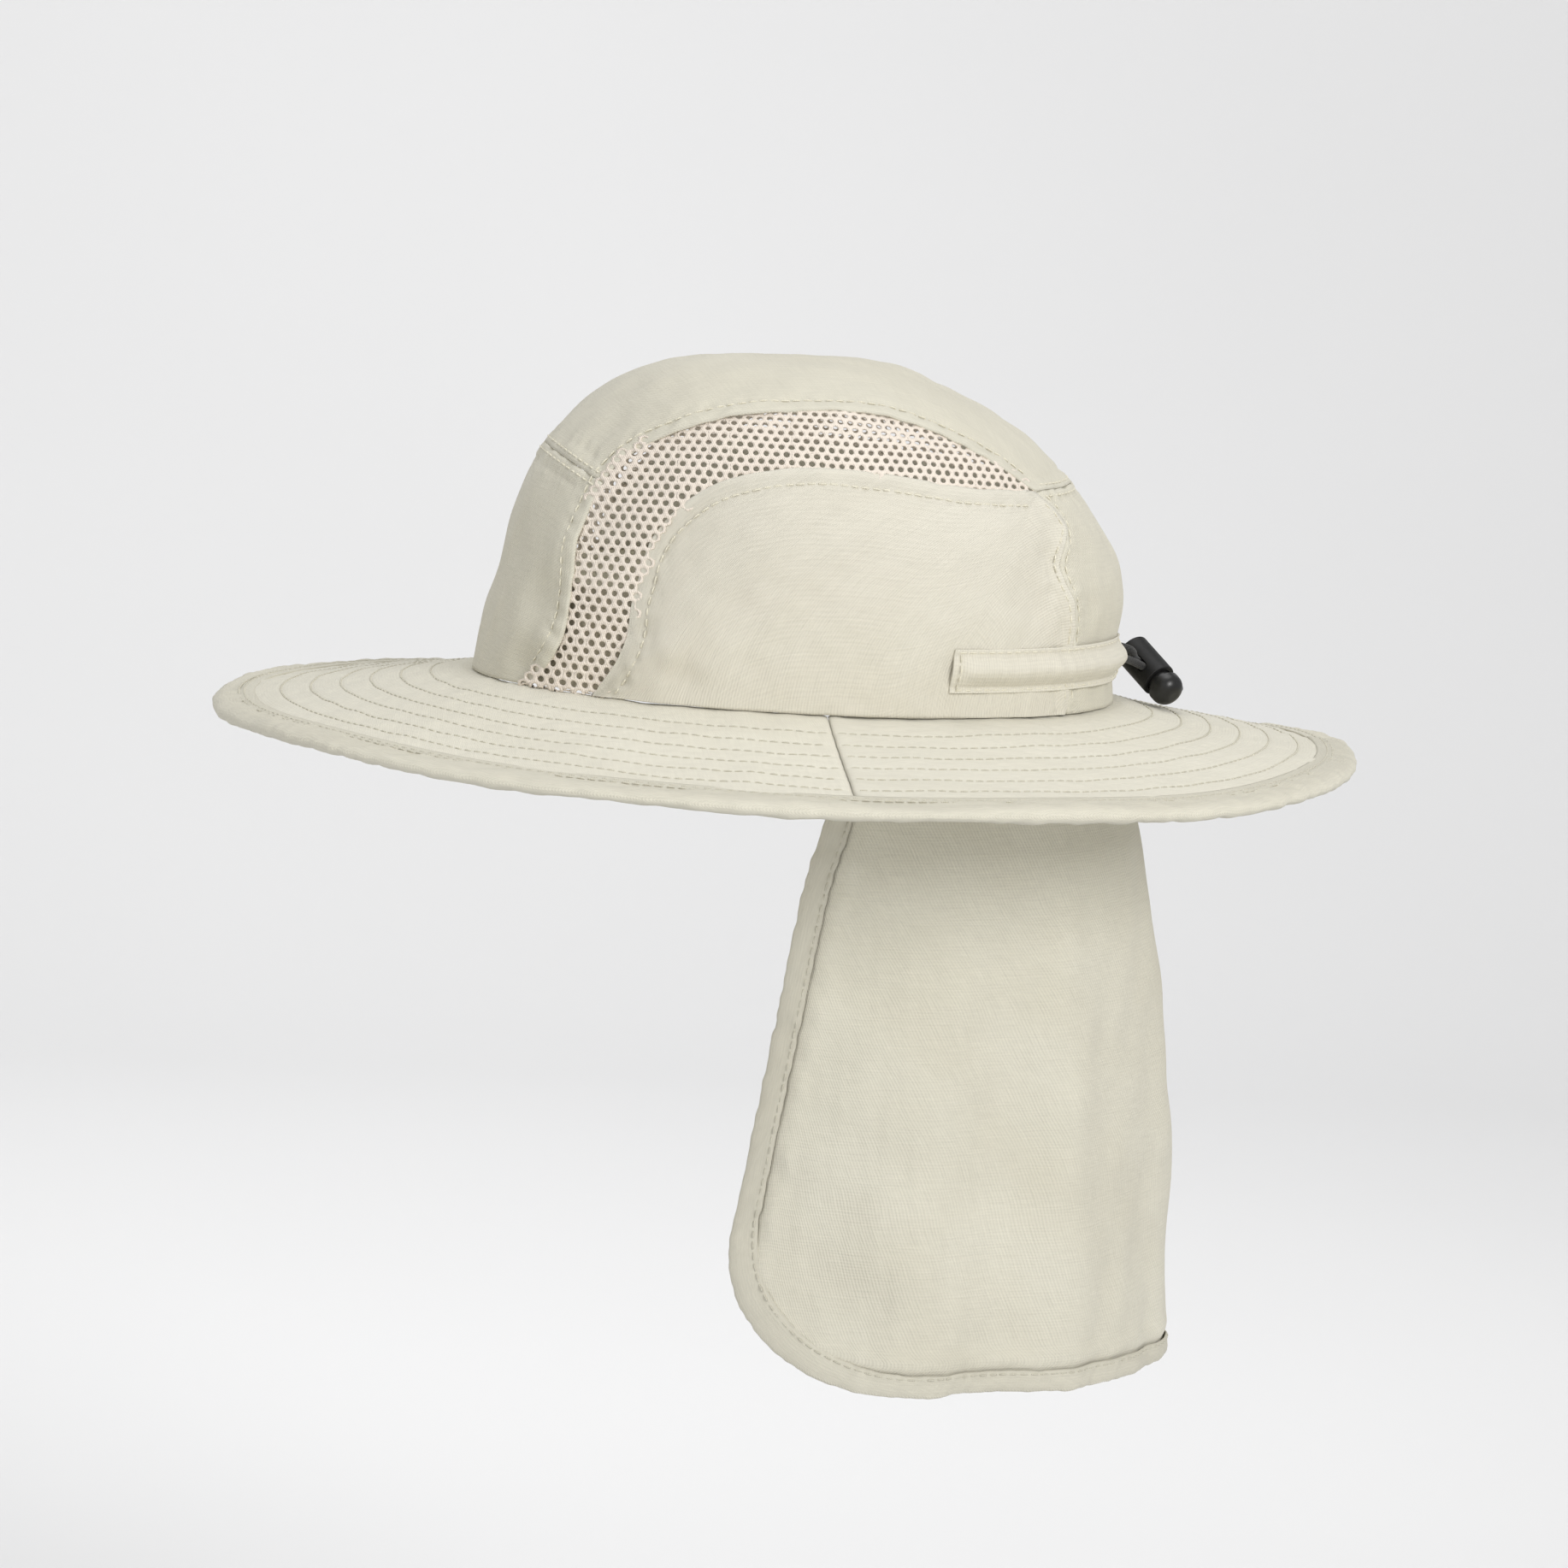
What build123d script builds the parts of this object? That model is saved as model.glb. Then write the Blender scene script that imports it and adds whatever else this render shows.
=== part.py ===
from build123d import *
import os
from bisect import bisect_left
from math import asin, cos, degrees, exp, hypot, pi, radians, sin, tan

# Wide-brim sun hat with a neck flap. Millimetres, +Z up. The origin is the centre of the head
# opening, on the plane of the sweatband's lower edge. The front of the hat points to -X and the
# wearer's left side to -Y.

# Driving dimensions
head_front = 98.0  # crown base, ahead of the origin
head_back = 100.0  # crown base, behind the origin
head_half_width = 77.0
crown_height = 100.0
fabric = 1.2  # sewn crown panels with their seam allowances
layer_gap = 0.15  # between layers that lie on each other
piece_gap = 0.4  # between pieces that may touch when they move

brim_front = 77.5
brim_back = 75.5
brim_side = 76.0
brim_drop = 14.5  # rim below the crown base, on average
brim_roll = 2.5  # how much lower the rim is at the sides than at front and back
brim_fabric = 0.7
stiffener_thickness = 1.4
edge_radius = 2.7

sweatband_height = 32.0
sweatband_thickness = 1.5

casing_bottom = 7.5
casing_height = 13.0
casing_wall = 0.9
casing_front_x = 37.0
casing_exit_gap = 7.0  # half the opening between the two casings at centre back
cord_diameter = 2.5
cord_play = 0.4

flap_length = 203.0
flap_band_depth = 12.0
flap_thickness = 1.2
flap_hem_width = 6.5
flap_hem_thickness = 2.0
flap_front_top = 18.5  # where the flap's front edge starts, along X
flap_front_slant = 0.15  # how far the edge runs forward for each millimetre down
flap_corner = 46.0  # height of the rounded lower corner

lock_radius = 5.5
lock_length = 15.0
lock_wall = 1.3
lock_floor = 1.6
plunger_travel = 2.2
plunger_head_radius = 5.3
plunger_head_height = 5.5
lock_fit = 0.2

os.makedirs("parts", exist_ok=True)


def save(piece, name):
    piece.part.label = name
    export_step(piece.part, f"parts/{name}.step")


# Crown: one thin shell, cut along its seams -------------------------------------------------

# height share, front, back and half width as shares of the head opening's
crown_profile = [
    (0.00, 1.000, 1.000, 1.000),
    (0.12, 0.980, 0.985, 1.010),
    (0.30, 0.935, 0.995, 1.010),
    (0.45, 0.900, 0.960, 0.985),
    (0.58, 0.855, 0.880, 0.945),
    (0.70, 0.795, 0.770, 0.880),
    (0.80, 0.715, 0.665, 0.790),
    (0.88, 0.615, 0.540, 0.675),
    (0.94, 0.480, 0.390, 0.530),
    (0.98, 0.285, 0.260, 0.365),
    (1.00, 0.120, 0.140, 0.170),
]


def crown_solid(outset, lowest=0.0):
    """The crown's outer form grown by outset, down to the height lowest."""
    sections = []
    for share, front, back, side in crown_profile:
        front_x = -head_front * front
        back_x = head_back * back
        plane = Plane(origin=((front_x + back_x) / 2, 0, share * (crown_height + outset)))
        half_length = (back_x - front_x) / 2 + outset
        sections.append(plane * Ellipse(half_length, head_half_width * side + outset))
    skirt = Pos(0, 0, lowest) * sections[0] if lowest else None
    form = loft(sections)
    if skirt is not None:
        form += extrude(skirt, amount=-lowest, dir=(0, 0, 1))
    return form


crown_form = crown_solid(0)
crown_hollow = crown_solid(-fabric, -1.0)
crown_shell = crown_form - crown_hollow
band_outset = -(fabric + layer_gap)
sweatband_form = crown_solid(band_outset)
sweatband_hollow = crown_solid(band_outset - sweatband_thickness, -1.0)



def seam(x, z):
    """A side-view point: x in percent of head_front or head_back, z in percent of crown_height."""
    reach = head_front if x < 0 else head_back
    return (x / 100 * reach, z / 100 * crown_height)


# Seams in side view
vent_front_foot = seam(-85.7, -1)
vent_front_edge = [
    seam(-77.5, 12),
    seam(-74.5, 30),
    seam(-71.9, 48),
    seam(-62.2, 68),
    seam(-40.8, 80),
    seam(-8.2, 86.5),
    seam(22, 85),
    seam(46, 75.5),
]
vent_rear_foot = seam(-67.3, -1)
vent_rear_edge = [
    seam(-59.7, 14),
    seam(-57.1, 32),
    seam(-52, 49),
    seam(-38.8, 62.5),
    seam(-18.4, 69.5),
    seam(12, 70.5),
    seam(42, 66.5),
]
vent_tip = seam(64, 65.5)
front_seam_top = seam(-91.8, 74)
front_seam_foot = seam(-66.8, 61.5)
back_seam_back = seam(120, 66)
back_panel_seam = [seam(74, 55), seam(72.5, 44), seam(77, 31)]
back_panel_foot = seam(76.5, -1)
zone_reach = 2 * head_back  # well outside the crown


with BuildPart() as vent_zone:
    with BuildSketch(Plane.XZ):
        with BuildLine():
            Spline(vent_front_foot, *vent_front_edge, vent_tip)
            Spline(vent_tip, *reversed(vent_rear_edge), vent_rear_foot)
            Line(vent_rear_foot, vent_front_foot)
        make_face()
    extrude(amount=zone_reach, both=True)

with BuildPart() as side_zone:
    with BuildSketch(Plane.XZ):
        with BuildLine():
            Spline(vent_rear_foot, *vent_rear_edge, vent_tip)
            Spline(vent_tip, *back_panel_seam, back_panel_foot)
            Line(back_panel_foot, vent_rear_foot)
        make_face()
    extrude(amount=zone_reach, both=True)

with BuildPart() as front_zone:
    with BuildSketch(Plane.XZ):
        with BuildLine():
            Polyline(
                vent_front_foot,
                (-zone_reach, vent_front_foot[1]),
                (-zone_reach, front_seam_top[1]),
                front_seam_top,
                front_seam_foot,
                seam(0, 55),
                seam(0, -1),
                vent_front_foot,
            )
        make_face()
    extrude(amount=zone_reach, both=True)

with BuildPart() as back_zone:
    with BuildSketch(Plane.XZ):
        with BuildLine():
            Polyline(
                back_panel_foot,
                (zone_reach, back_panel_foot[1]),
                (zone_reach, back_seam_back[1]),
                back_seam_back,
                vent_tip,
            )
            Spline(vent_tip, *back_panel_seam, back_panel_foot)
        make_face()
    extrude(amount=zone_reach, both=True)

# Plane.XZ faces -Y, so its top side is the wearer's left
side_keep = {"left": Keep.TOP, "right": Keep.BOTTOM}
side_sign = {"left": -1, "right": 1}

for side in ("left", "right"):
    with BuildPart() as vent:
        add(crown_shell)
        add(vent_zone.part, mode=Mode.INTERSECT)
        split(bisect_by=Plane.XZ, keep=side_keep[side])
    save(vent, f"mesh_vent_{side}")
    with BuildPart() as side_panel:
        add(crown_shell)
        add(side_zone.part, mode=Mode.INTERSECT)
        split(bisect_by=Plane.XZ, keep=side_keep[side])
    save(side_panel, f"side_panel_{side}")

with BuildPart() as front_panel:
    add(crown_shell)
    add(front_zone.part, mode=Mode.INTERSECT)
    add(vent_zone.part, mode=Mode.SUBTRACT)
    add(side_zone.part, mode=Mode.SUBTRACT)
save(front_panel, "front_panel")

with BuildPart() as back_panel:
    add(crown_shell)
    add(back_zone.part, mode=Mode.INTERSECT)
save(back_panel, "back_panel")

with BuildPart() as top_panel:
    add(crown_shell)
    add(vent_zone.part, mode=Mode.SUBTRACT)
    add(side_zone.part, mode=Mode.SUBTRACT)
    add(front_zone.part, mode=Mode.SUBTRACT)
    add(back_zone.part, mode=Mode.SUBTRACT)
save(top_panel, "top_panel")

with BuildPart() as sweatband:
    add(sweatband_form - sweatband_hollow)
    with BuildSketch(Plane.XY):
        Rectangle(3 * head_back, 3 * head_back)
    extrude(amount=sweatband_height, mode=Mode.INTERSECT)
save(sweatband, "sweatband")

# Brim: upper fabric, stiffener and under fabric, each in a front and a rear piece --------------

brim_inner_gap = 0.2  # between the crown's lower edge and the brim's inner edge
brim_centre_x = (head_back - head_front) / 2
head_half_length = (head_back + head_front) / 2
rim_inset = edge_radius + 0.5


def brim_point(angle, share, inset=0.0):
    """A point of the brim's top face; angle 0 is the back, share runs from crown to rim."""
    a = radians(angle)
    length = brim_back if cos(a) > 0 else brim_front
    width = hypot(length * cos(a), brim_side * sin(a)) - rim_inset
    grow = brim_inner_gap + (width - brim_inner_gap) * share
    drop = brim_drop - brim_roll * cos(2 * a)
    x = brim_centre_x + (head_half_length + grow) * cos(a)
    y = (head_half_width + grow) * sin(a)
    return (x, y, -drop * share**0.85 - inset)


def patch(point, first, last, columns, rows):
    """A spline face through point(along, share) on an even grid, share from 0 to 1."""
    grid = []
    for i in range(columns + 1):
        along = first + (last - first) * i / columns
        grid.append([Vector(*point(along, j / rows)) for j in range(rows + 1)])
    return Face.make_surface_from_array_of_points(grid, tol=0.01, min_deg=3, max_deg=5)


def brim_layer(first, last, inset):
    return patch(lambda angle, share: brim_point(angle, share, inset), first, last, 24, 6)


seam_angle = 90.0
side_seam_gap = 0.12  # half the gap at the side seams, in degrees
brim_halves = {"rear": (-seam_angle, seam_angle), "front": (seam_angle, 360 - seam_angle)}
upper_inset = brim_fabric
stiffener_inset = upper_inset + layer_gap + stiffener_thickness
under_inset = stiffener_inset + layer_gap + brim_fabric

for half, (first, last) in brim_halves.items():
    span = (first + side_seam_gap, last - side_seam_gap)
    with BuildPart() as brim_upper:
        thicken(brim_layer(*span, upper_inset), amount=brim_fabric, normal_override=(0, 0, 1))
    save(brim_upper, f"brim_upper_{half}")
    with BuildPart() as brim_stiffener:
        thicken(brim_layer(*span, stiffener_inset), amount=stiffener_thickness, normal_override=(0, 0, 1))
    save(brim_stiffener, f"brim_stiffener_{half}")
    with BuildPart() as brim_under:
        thicken(brim_layer(*span, under_inset), amount=brim_fabric, normal_override=(0, 0, 1))
    save(brim_under, f"brim_under_{half}")


def rim_point(angle):
    """Centre of the rolled edge."""
    x, y, z = brim_point(angle, 1.0, under_inset / 2)
    a = radians(angle)
    reach = rim_inset + piece_gap
    return Vector(x + reach * cos(a), y + reach * sin(a), z)


rim_steps = 14
for half, (first, last) in brim_halves.items():
    rim_angles = [first + (last - first) * i / rim_steps for i in range(rim_steps + 1)]
    with BuildPart() as brim_edge:
        with BuildLine() as rim_line:
            Spline([rim_point(angle) for angle in rim_angles])
        with BuildSketch(Plane(rim_line.line @ 0, z_dir=rim_line.line % 0)):
            Circle(edge_radius)
        sweep()
    save(brim_edge, f"brim_edge_{half}")

# Rear adjuster: two casings with the elastic cord inside ---------------------------------------

channel_depth = cord_diameter + 2 * cord_play
casing_outset = channel_depth + casing_wall
casing_middle = casing_bottom + casing_height / 2
casing_blank = crown_solid(casing_outset) - crown_solid(layer_gap)
channel_blank = crown_solid(layer_gap + channel_depth) - crown_solid(0)

with BuildPart() as channel:
    add(channel_blank)
    with BuildSketch(Plane.XZ):
        with Locations((casing_front_x + head_back, casing_middle)):
            Rectangle(2 * head_back - 6 * casing_wall, casing_height - 4 * casing_wall)
    extrude(amount=zone_reach, both=True, mode=Mode.INTERSECT)

for side in ("left", "right"):
    sign = side_sign[side]
    with BuildPart() as casing:
        add(casing_blank)
        with BuildSketch(Plane.XZ):
            with Locations((casing_front_x + head_back, casing_middle)):
                Rectangle(2 * head_back, casing_height)
        extrude(amount=zone_reach, both=True, mode=Mode.INTERSECT)
        add(channel.part, mode=Mode.SUBTRACT)
        split(bisect_by=Plane((0, sign * casing_exit_gap, 0), z_dir=(0, sign, 0)), keep=Keep.TOP)
    save(casing, f"casing_{side}")

# The stretch of cord inside each casing follows the crown at mid channel
cord_outset = layer_gap + channel_depth / 2
casing_level_back = 0.986  # the crown's back and side shares at the casing's height
casing_level_side = 1.01
cord_ring_x = head_back * casing_level_back + cord_outset - brim_centre_x
cord_ring_y = head_half_width * casing_level_side + cord_outset
cord_offset = 1.2  # the left strand runs this much below the channel's middle, the right one above
cord_height = {"left": casing_middle - cord_offset, "right": casing_middle + cord_offset}
cord_anchor_angle = 62.0
cord_exit_angle = degrees(asin((casing_exit_gap + 2 * piece_gap) / cord_ring_y))
cord_steps = 8


def cord_tube(points):
    """A round tube along straight runs with tangent arcs as large as the runs allow."""
    runs = [points[i + 1] - points[i] for i in range(len(points) - 1)]
    radii = []
    for before, after in zip(runs, runs[1:]):
        half_turn = radians(before.get_angle(after)) / 2
        radii.append(0.45 * min(before.length, after.length) / tan(half_turn))
    print("cord arc radii", [round(r, 1) for r in radii])
    with BuildPart() as tube:
        with BuildLine() as route:
            FilletPolyline(*points, radius=radii)
        with BuildSketch(Plane(points[0], z_dir=runs[0])):
            Circle(cord_diameter / 2)
        sweep()
    section = pi * cord_diameter**2 / 4
    print("cord length", round(route.wire().length, 1))
    print("tube over section", round(tube.part.volume / section, 1))
    return tube


def cord_ring_point(angle, sign, height):
    a = radians(angle)
    return Vector(brim_centre_x + cord_ring_x * cos(a), sign * cord_ring_y * sin(a), height)


cord_exit = {}
for side in ("left", "right"):
    cord_step = (cord_exit_angle - cord_anchor_angle) / cord_steps
    angles = [cord_anchor_angle + cord_step * i for i in range(cord_steps + 1)]
    held_points = [cord_ring_point(a, side_sign[side], cord_height[side]) for a in angles]
    cord_exit[side] = (held_points[-1], (held_points[-1] - held_points[-2]).normalized())
    drawcord_held = cord_tube(held_points)
    save(drawcord_held, f"drawcord_held_{side}")

# Cord lock: both strands run straight through it, along lock_heading
lock_heading = Vector(118, 120, -60).normalized()
lock_across = lock_heading.cross(Vector(0.447, -0.734, -0.512)).normalized()
lock_axis = lock_across.cross(lock_heading)  # towards the plunger's head
barrel_mouth = lock_length / 2 - 1.2
barrel_foot = barrel_mouth - lock_length
head_gap = plunger_travel + lock_fit
lock_stand_off = 3.6  # between the casing and the barrel
lock_side = 12.0
head_rise = 0.4  # of the plunger's far end over the crown's base
lock_height = (barrel_mouth + head_gap + plunger_head_height) * -lock_axis.Z + head_rise
lock_centre = Vector(head_back + casing_outset + lock_stand_off + lock_radius, lock_side, lock_height)
strand_half = (cord_diameter + piece_gap) / 2  # strands lie side by side along the lock's axis
loop_tail = 9.0  # from the lock's centre to where the strands part
tail_half = 3.3  # half the width of the loop's open end


def strand_point(along, offset):
    return lock_centre + lock_heading * along + lock_axis * offset


near_exit, near_way = cord_exit["left"]
far_exit, far_way = cord_exit["right"]
loop_points = [
    near_exit,
    near_exit + near_way * 2.6,
    strand_point(-12.0, strand_half * 1.03),
    strand_point(-1.5, strand_half),
    strand_point(loop_tail, strand_half * 1.03),
    strand_point(loop_tail + 4.0, tail_half * 1.1),
    strand_point(loop_tail + 8.8, tail_half * 0.9),
    strand_point(loop_tail + 8.8, -tail_half * 0.9),
    strand_point(loop_tail + 4.0, -tail_half * 1.1),
    strand_point(loop_tail, -strand_half * 1.03),
    strand_point(-1.5, -strand_half),
    strand_point(-7.2, -strand_half * 1.03),
    far_exit + Vector(6.4, -5.4, -1.0),
    far_exit + Vector(2.4, -6.8, 0.2),
    far_exit + far_way * 3.0,
    far_exit,
]
drawcord_loop = cord_tube(loop_points)
save(drawcord_loop, "drawcord_loop")

# Local frame of the lock: z towards the plunger's head, x along the strands
stem_radius = lock_radius - lock_wall - lock_fit
hole_width = cord_diameter + 2 * cord_play
hole_length = 2 * strand_half + hole_width


def lock_plane(height):
    return Plane(lock_centre + lock_axis * height, x_dir=lock_heading, z_dir=lock_axis)


with BuildPart() as barrel:
    with BuildSketch(lock_plane(barrel_foot)):
        Circle(lock_radius)
    extrude(amount=lock_length)
    with BuildSketch(lock_plane(barrel_foot + lock_floor)):
        Circle(lock_radius - lock_wall)
    extrude(amount=lock_length, mode=Mode.SUBTRACT)
    with BuildSketch(Plane(lock_centre, x_dir=lock_axis, z_dir=lock_heading)):
        SlotOverall(hole_length, hole_width)
    extrude(amount=2 * lock_radius, both=True, mode=Mode.SUBTRACT)
    fillet(barrel.edges().filter_by(GeomType.CIRCLE).sort_by(SortBy.LENGTH)[-1:], radius=0.4)
save(barrel, "cord_lock_barrel")

stem_foot = -hole_length / 2 - 1.2
with BuildPart() as plunger:
    with BuildSketch(lock_plane(stem_foot)):
        Circle(stem_radius)
    extrude(amount=barrel_mouth + head_gap - stem_foot)
    with BuildSketch(lock_plane(barrel_mouth + head_gap)):
        Circle(plunger_head_radius)
    extrude(amount=plunger_head_height)
    fillet(plunger.edges().sort_by(Axis(lock_centre, lock_axis))[-1], radius=plunger_head_radius * 0.75)
    slot_centre = lock_centre + lock_axis * (plunger_travel / 2)
    with BuildSketch(Plane(slot_centre, x_dir=lock_axis, z_dir=lock_heading)):
        SlotOverall(hole_length + plunger_travel, hole_width)
    extrude(amount=2 * lock_radius, both=True, mode=Mode.SUBTRACT)
save(plunger, "cord_lock_plunger")

spring_wire = 0.45
spring_radius = 2.6
spring_foot = barrel_foot + lock_floor + spring_wire / 2 + 0.02
spring_length = stem_foot - spring_foot - spring_wire / 2 - 0.02
spring_turns = 3
with BuildPart() as spring:
    with BuildLine():
        coil = Helix(spring_length / spring_turns, spring_length, spring_radius, center=lock_centre
                     + lock_axis * spring_foot, direction=lock_axis)
    with BuildSketch(Plane(coil @ 0, z_dir=coil % 0)):
        Circle(spring_wire / 2)
    sweep()
save(spring, "cord_lock_spring")

# Neck flap -------------------------------------------------------------------------------------

flap_inset = 3.5  # of the flap's top edge inside the back of the head opening
flap_side_inset = 7.0
flap_centre_x = 0.2 * head_back
flap_top_reach = head_back - flap_inset - flap_centre_x
flap_flare = 31.0  # how much further back it stands below the brim
flap_flare_depth = 75.0
flap_twist = 10.0  # the hanging flap turns towards the wearer's left, in degrees
flap_twist_depth = 37.0  # where it has turned two thirds of the way
flap_half_width = head_half_width - flap_side_inset


def flap_surface(depth, angle):
    """A point of the flap's outer face; angle 0 is the centre back."""
    a = radians(angle)
    reach = flap_top_reach + flap_flare * (1 - exp(-depth / flap_flare_depth))
    x, y = reach * cos(a), (flap_half_width + 0.03 * depth) * sin(a)
    turn = radians(flap_twist) * (1 - exp(-((depth / flap_twist_depth) ** 3)))
    return (flap_centre_x + x * cos(turn) + y * sin(turn), y * cos(turn) - x * sin(turn), -depth)


def flap_front_angle(depth):
    """Angle of the flap's front edge at this depth."""
    reach = flap_top_reach + flap_flare * (1 - exp(-depth / flap_flare_depth))
    edge_x = flap_front_top - flap_front_slant * depth
    return 90 + (180 / pi) * (flap_centre_x - edge_x) / reach


corner_share = 0.30  # of the half width, taken by a rounded corner


def flap_outline(along, inset):
    """Share across and depth of the lower edge, for along from -1 to 1; the corners are round."""
    side = 1 if along > 0 else -1
    into = radians(max(0.0, (abs(along) - 0.5) / 0.5) * 90)
    straight = min(abs(along), 0.5) / 0.5 * (1 - corner_share)
    share = side * (straight + corner_share * sin(into))
    return share, flap_length - inset - flap_corner * (1 - cos(into))


def flap_point(along, down, inset=0.0):
    """along runs from -1 to 1 between the front edges, down from 0 at the top to 1."""
    share, bottom = flap_outline(along, inset)
    depth = flap_top + (bottom - flap_top) * down
    edge = flap_front_angle(depth) - (180 / pi) * inset / flap_half_width
    return flap_surface(depth, share * edge)


def hem_point(along, across):
    """along runs down the left front edge, round the bottom and up the right one, 0 to 3."""
    inset = (flap_hem_width - piece_gap) * across
    if along < 1:
        return flap_point(-1, along, inset)
    if along <= 2:
        return flap_point(2 * (along - 1) - 1, 1, inset)
    return flap_point(1, 3 - along, inset)


def hem_stations(count):
    """Values of along that lie evenly spaced on the hem's outer edge."""
    fine = [3 * i / 1500 for i in range(1501)]
    places = [Vector(*hem_point(along, 0)) for along in fine]
    reached = [0.0]
    for before, after in zip(places, places[1:]):
        reached.append(reached[-1] + (after - before).length)
    stations = []
    for i in range(1, count):
        want = reached[-1] * i / count
        after = bisect_left(reached, want)
        part = (want - reached[after - 1]) / (reached[after] - reached[after - 1])
        stations.append(fine[after - 1] + part * (fine[after] - fine[after - 1]))
    return [0.0, *stations, 3.0]


def band_point(along, down):
    depth = band_top + (flap_band_depth - band_top) * down
    return flap_surface(depth, along * flap_front_angle(0))


flap_top = flap_band_depth + piece_gap
hem_steps = 60
band_top = 1.0
with BuildPart() as flap_band:
    thicken(patch(band_point, -1, 1, 24, 4), amount=-flap_thickness)
save(flap_band, "flap_band")

with BuildPart() as neck_flap:
    flap_face = patch(lambda along, down: flap_point(along, down, flap_hem_width), -1, 1, 32, 12)
    thicken(flap_face, amount=-flap_thickness)
save(neck_flap, "neck_flap")

hem_along = hem_stations(hem_steps)
with BuildPart() as flap_hem:
    hem_sides = [Edge.make_spline([Vector(*hem_point(t, across)) for t in hem_along]) for across in (0, 1)]
    thicken(Face.make_surface_from_curves(*hem_sides), amount=-flap_hem_thickness)
save(flap_hem, "flap_hem")
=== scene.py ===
import math

import bpy
import numpy as np
from mathutils import Matrix, Vector


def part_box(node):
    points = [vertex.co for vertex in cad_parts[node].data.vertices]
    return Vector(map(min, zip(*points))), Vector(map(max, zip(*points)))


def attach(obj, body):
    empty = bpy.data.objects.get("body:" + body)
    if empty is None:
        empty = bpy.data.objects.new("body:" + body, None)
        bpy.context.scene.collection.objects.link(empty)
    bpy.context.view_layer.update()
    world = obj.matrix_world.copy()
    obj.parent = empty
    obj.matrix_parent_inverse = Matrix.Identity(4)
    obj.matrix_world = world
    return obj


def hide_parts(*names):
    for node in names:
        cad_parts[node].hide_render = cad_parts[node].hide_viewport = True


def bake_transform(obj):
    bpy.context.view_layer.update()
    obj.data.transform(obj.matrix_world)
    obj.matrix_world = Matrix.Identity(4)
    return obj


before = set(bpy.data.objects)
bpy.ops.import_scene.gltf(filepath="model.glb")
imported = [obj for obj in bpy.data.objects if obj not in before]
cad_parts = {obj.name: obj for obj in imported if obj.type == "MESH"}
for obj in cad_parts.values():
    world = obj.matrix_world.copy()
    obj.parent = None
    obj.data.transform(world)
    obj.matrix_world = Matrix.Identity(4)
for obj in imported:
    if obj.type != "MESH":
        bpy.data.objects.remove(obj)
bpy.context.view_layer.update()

MM = 0.001

# Sizes in millimetres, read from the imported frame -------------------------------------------


def box_mm(node):
    low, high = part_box(node)
    return np.array(low) / MM, np.array(high) / MM


head_front = -box_mm("front_panel")[0][0]
head_back = 100.0
head_half_width = 77.0
crown_height = box_mm("top_panel")[1][2]
edge_radius = 2.7
flap_length = -box_mm("flap_hem")[0][2]
casing_low, casing_high = box_mm("casing_left")


# Camera ---------------------------------------------------------------------------------------

AZIMUTH, ELEVATION, ROLL = math.radians(-8), math.radians(8), math.radians(3.6)
CAMERA_DISTANCE = 1.7
VIEW_WIDTH = 0.4805  # what the frame takes in at the target
SENSOR = 36.0
TARGET = Vector((0.0001, 0, -0.0318))


def make_camera():
    back = Vector((
        math.sin(AZIMUTH) * math.cos(ELEVATION),
        -math.cos(AZIMUTH) * math.cos(ELEVATION),
        math.sin(ELEVATION),
    ))
    right = Vector((math.cos(AZIMUTH), math.sin(AZIMUTH), 0))
    up = back.cross(right)
    rolled_right = right * math.cos(ROLL) + up * math.sin(ROLL)
    rolled_up = up * math.cos(ROLL) - right * math.sin(ROLL)
    data = bpy.data.cameras.new("camera")
    data.sensor_width = SENSOR
    data.lens = SENSOR * CAMERA_DISTANCE / VIEW_WIDTH
    data.clip_end = 20
    camera = bpy.data.objects.new("camera", data)
    place = TARGET + back * CAMERA_DISTANCE
    camera.matrix_world = Matrix((
        (rolled_right.x, rolled_up.x, back.x, place.x),
        (rolled_right.y, rolled_up.y, back.y, place.y),
        (rolled_right.z, rolled_up.z, back.z, place.z),
        (0, 0, 0, 1),
    ))
    bpy.context.scene.collection.objects.link(camera)
    bpy.context.scene.camera = camera


make_camera()
bpy.context.scene.view_settings.view_transform = "Standard"


# Materials ------------------------------------------------------------------------------------


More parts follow.
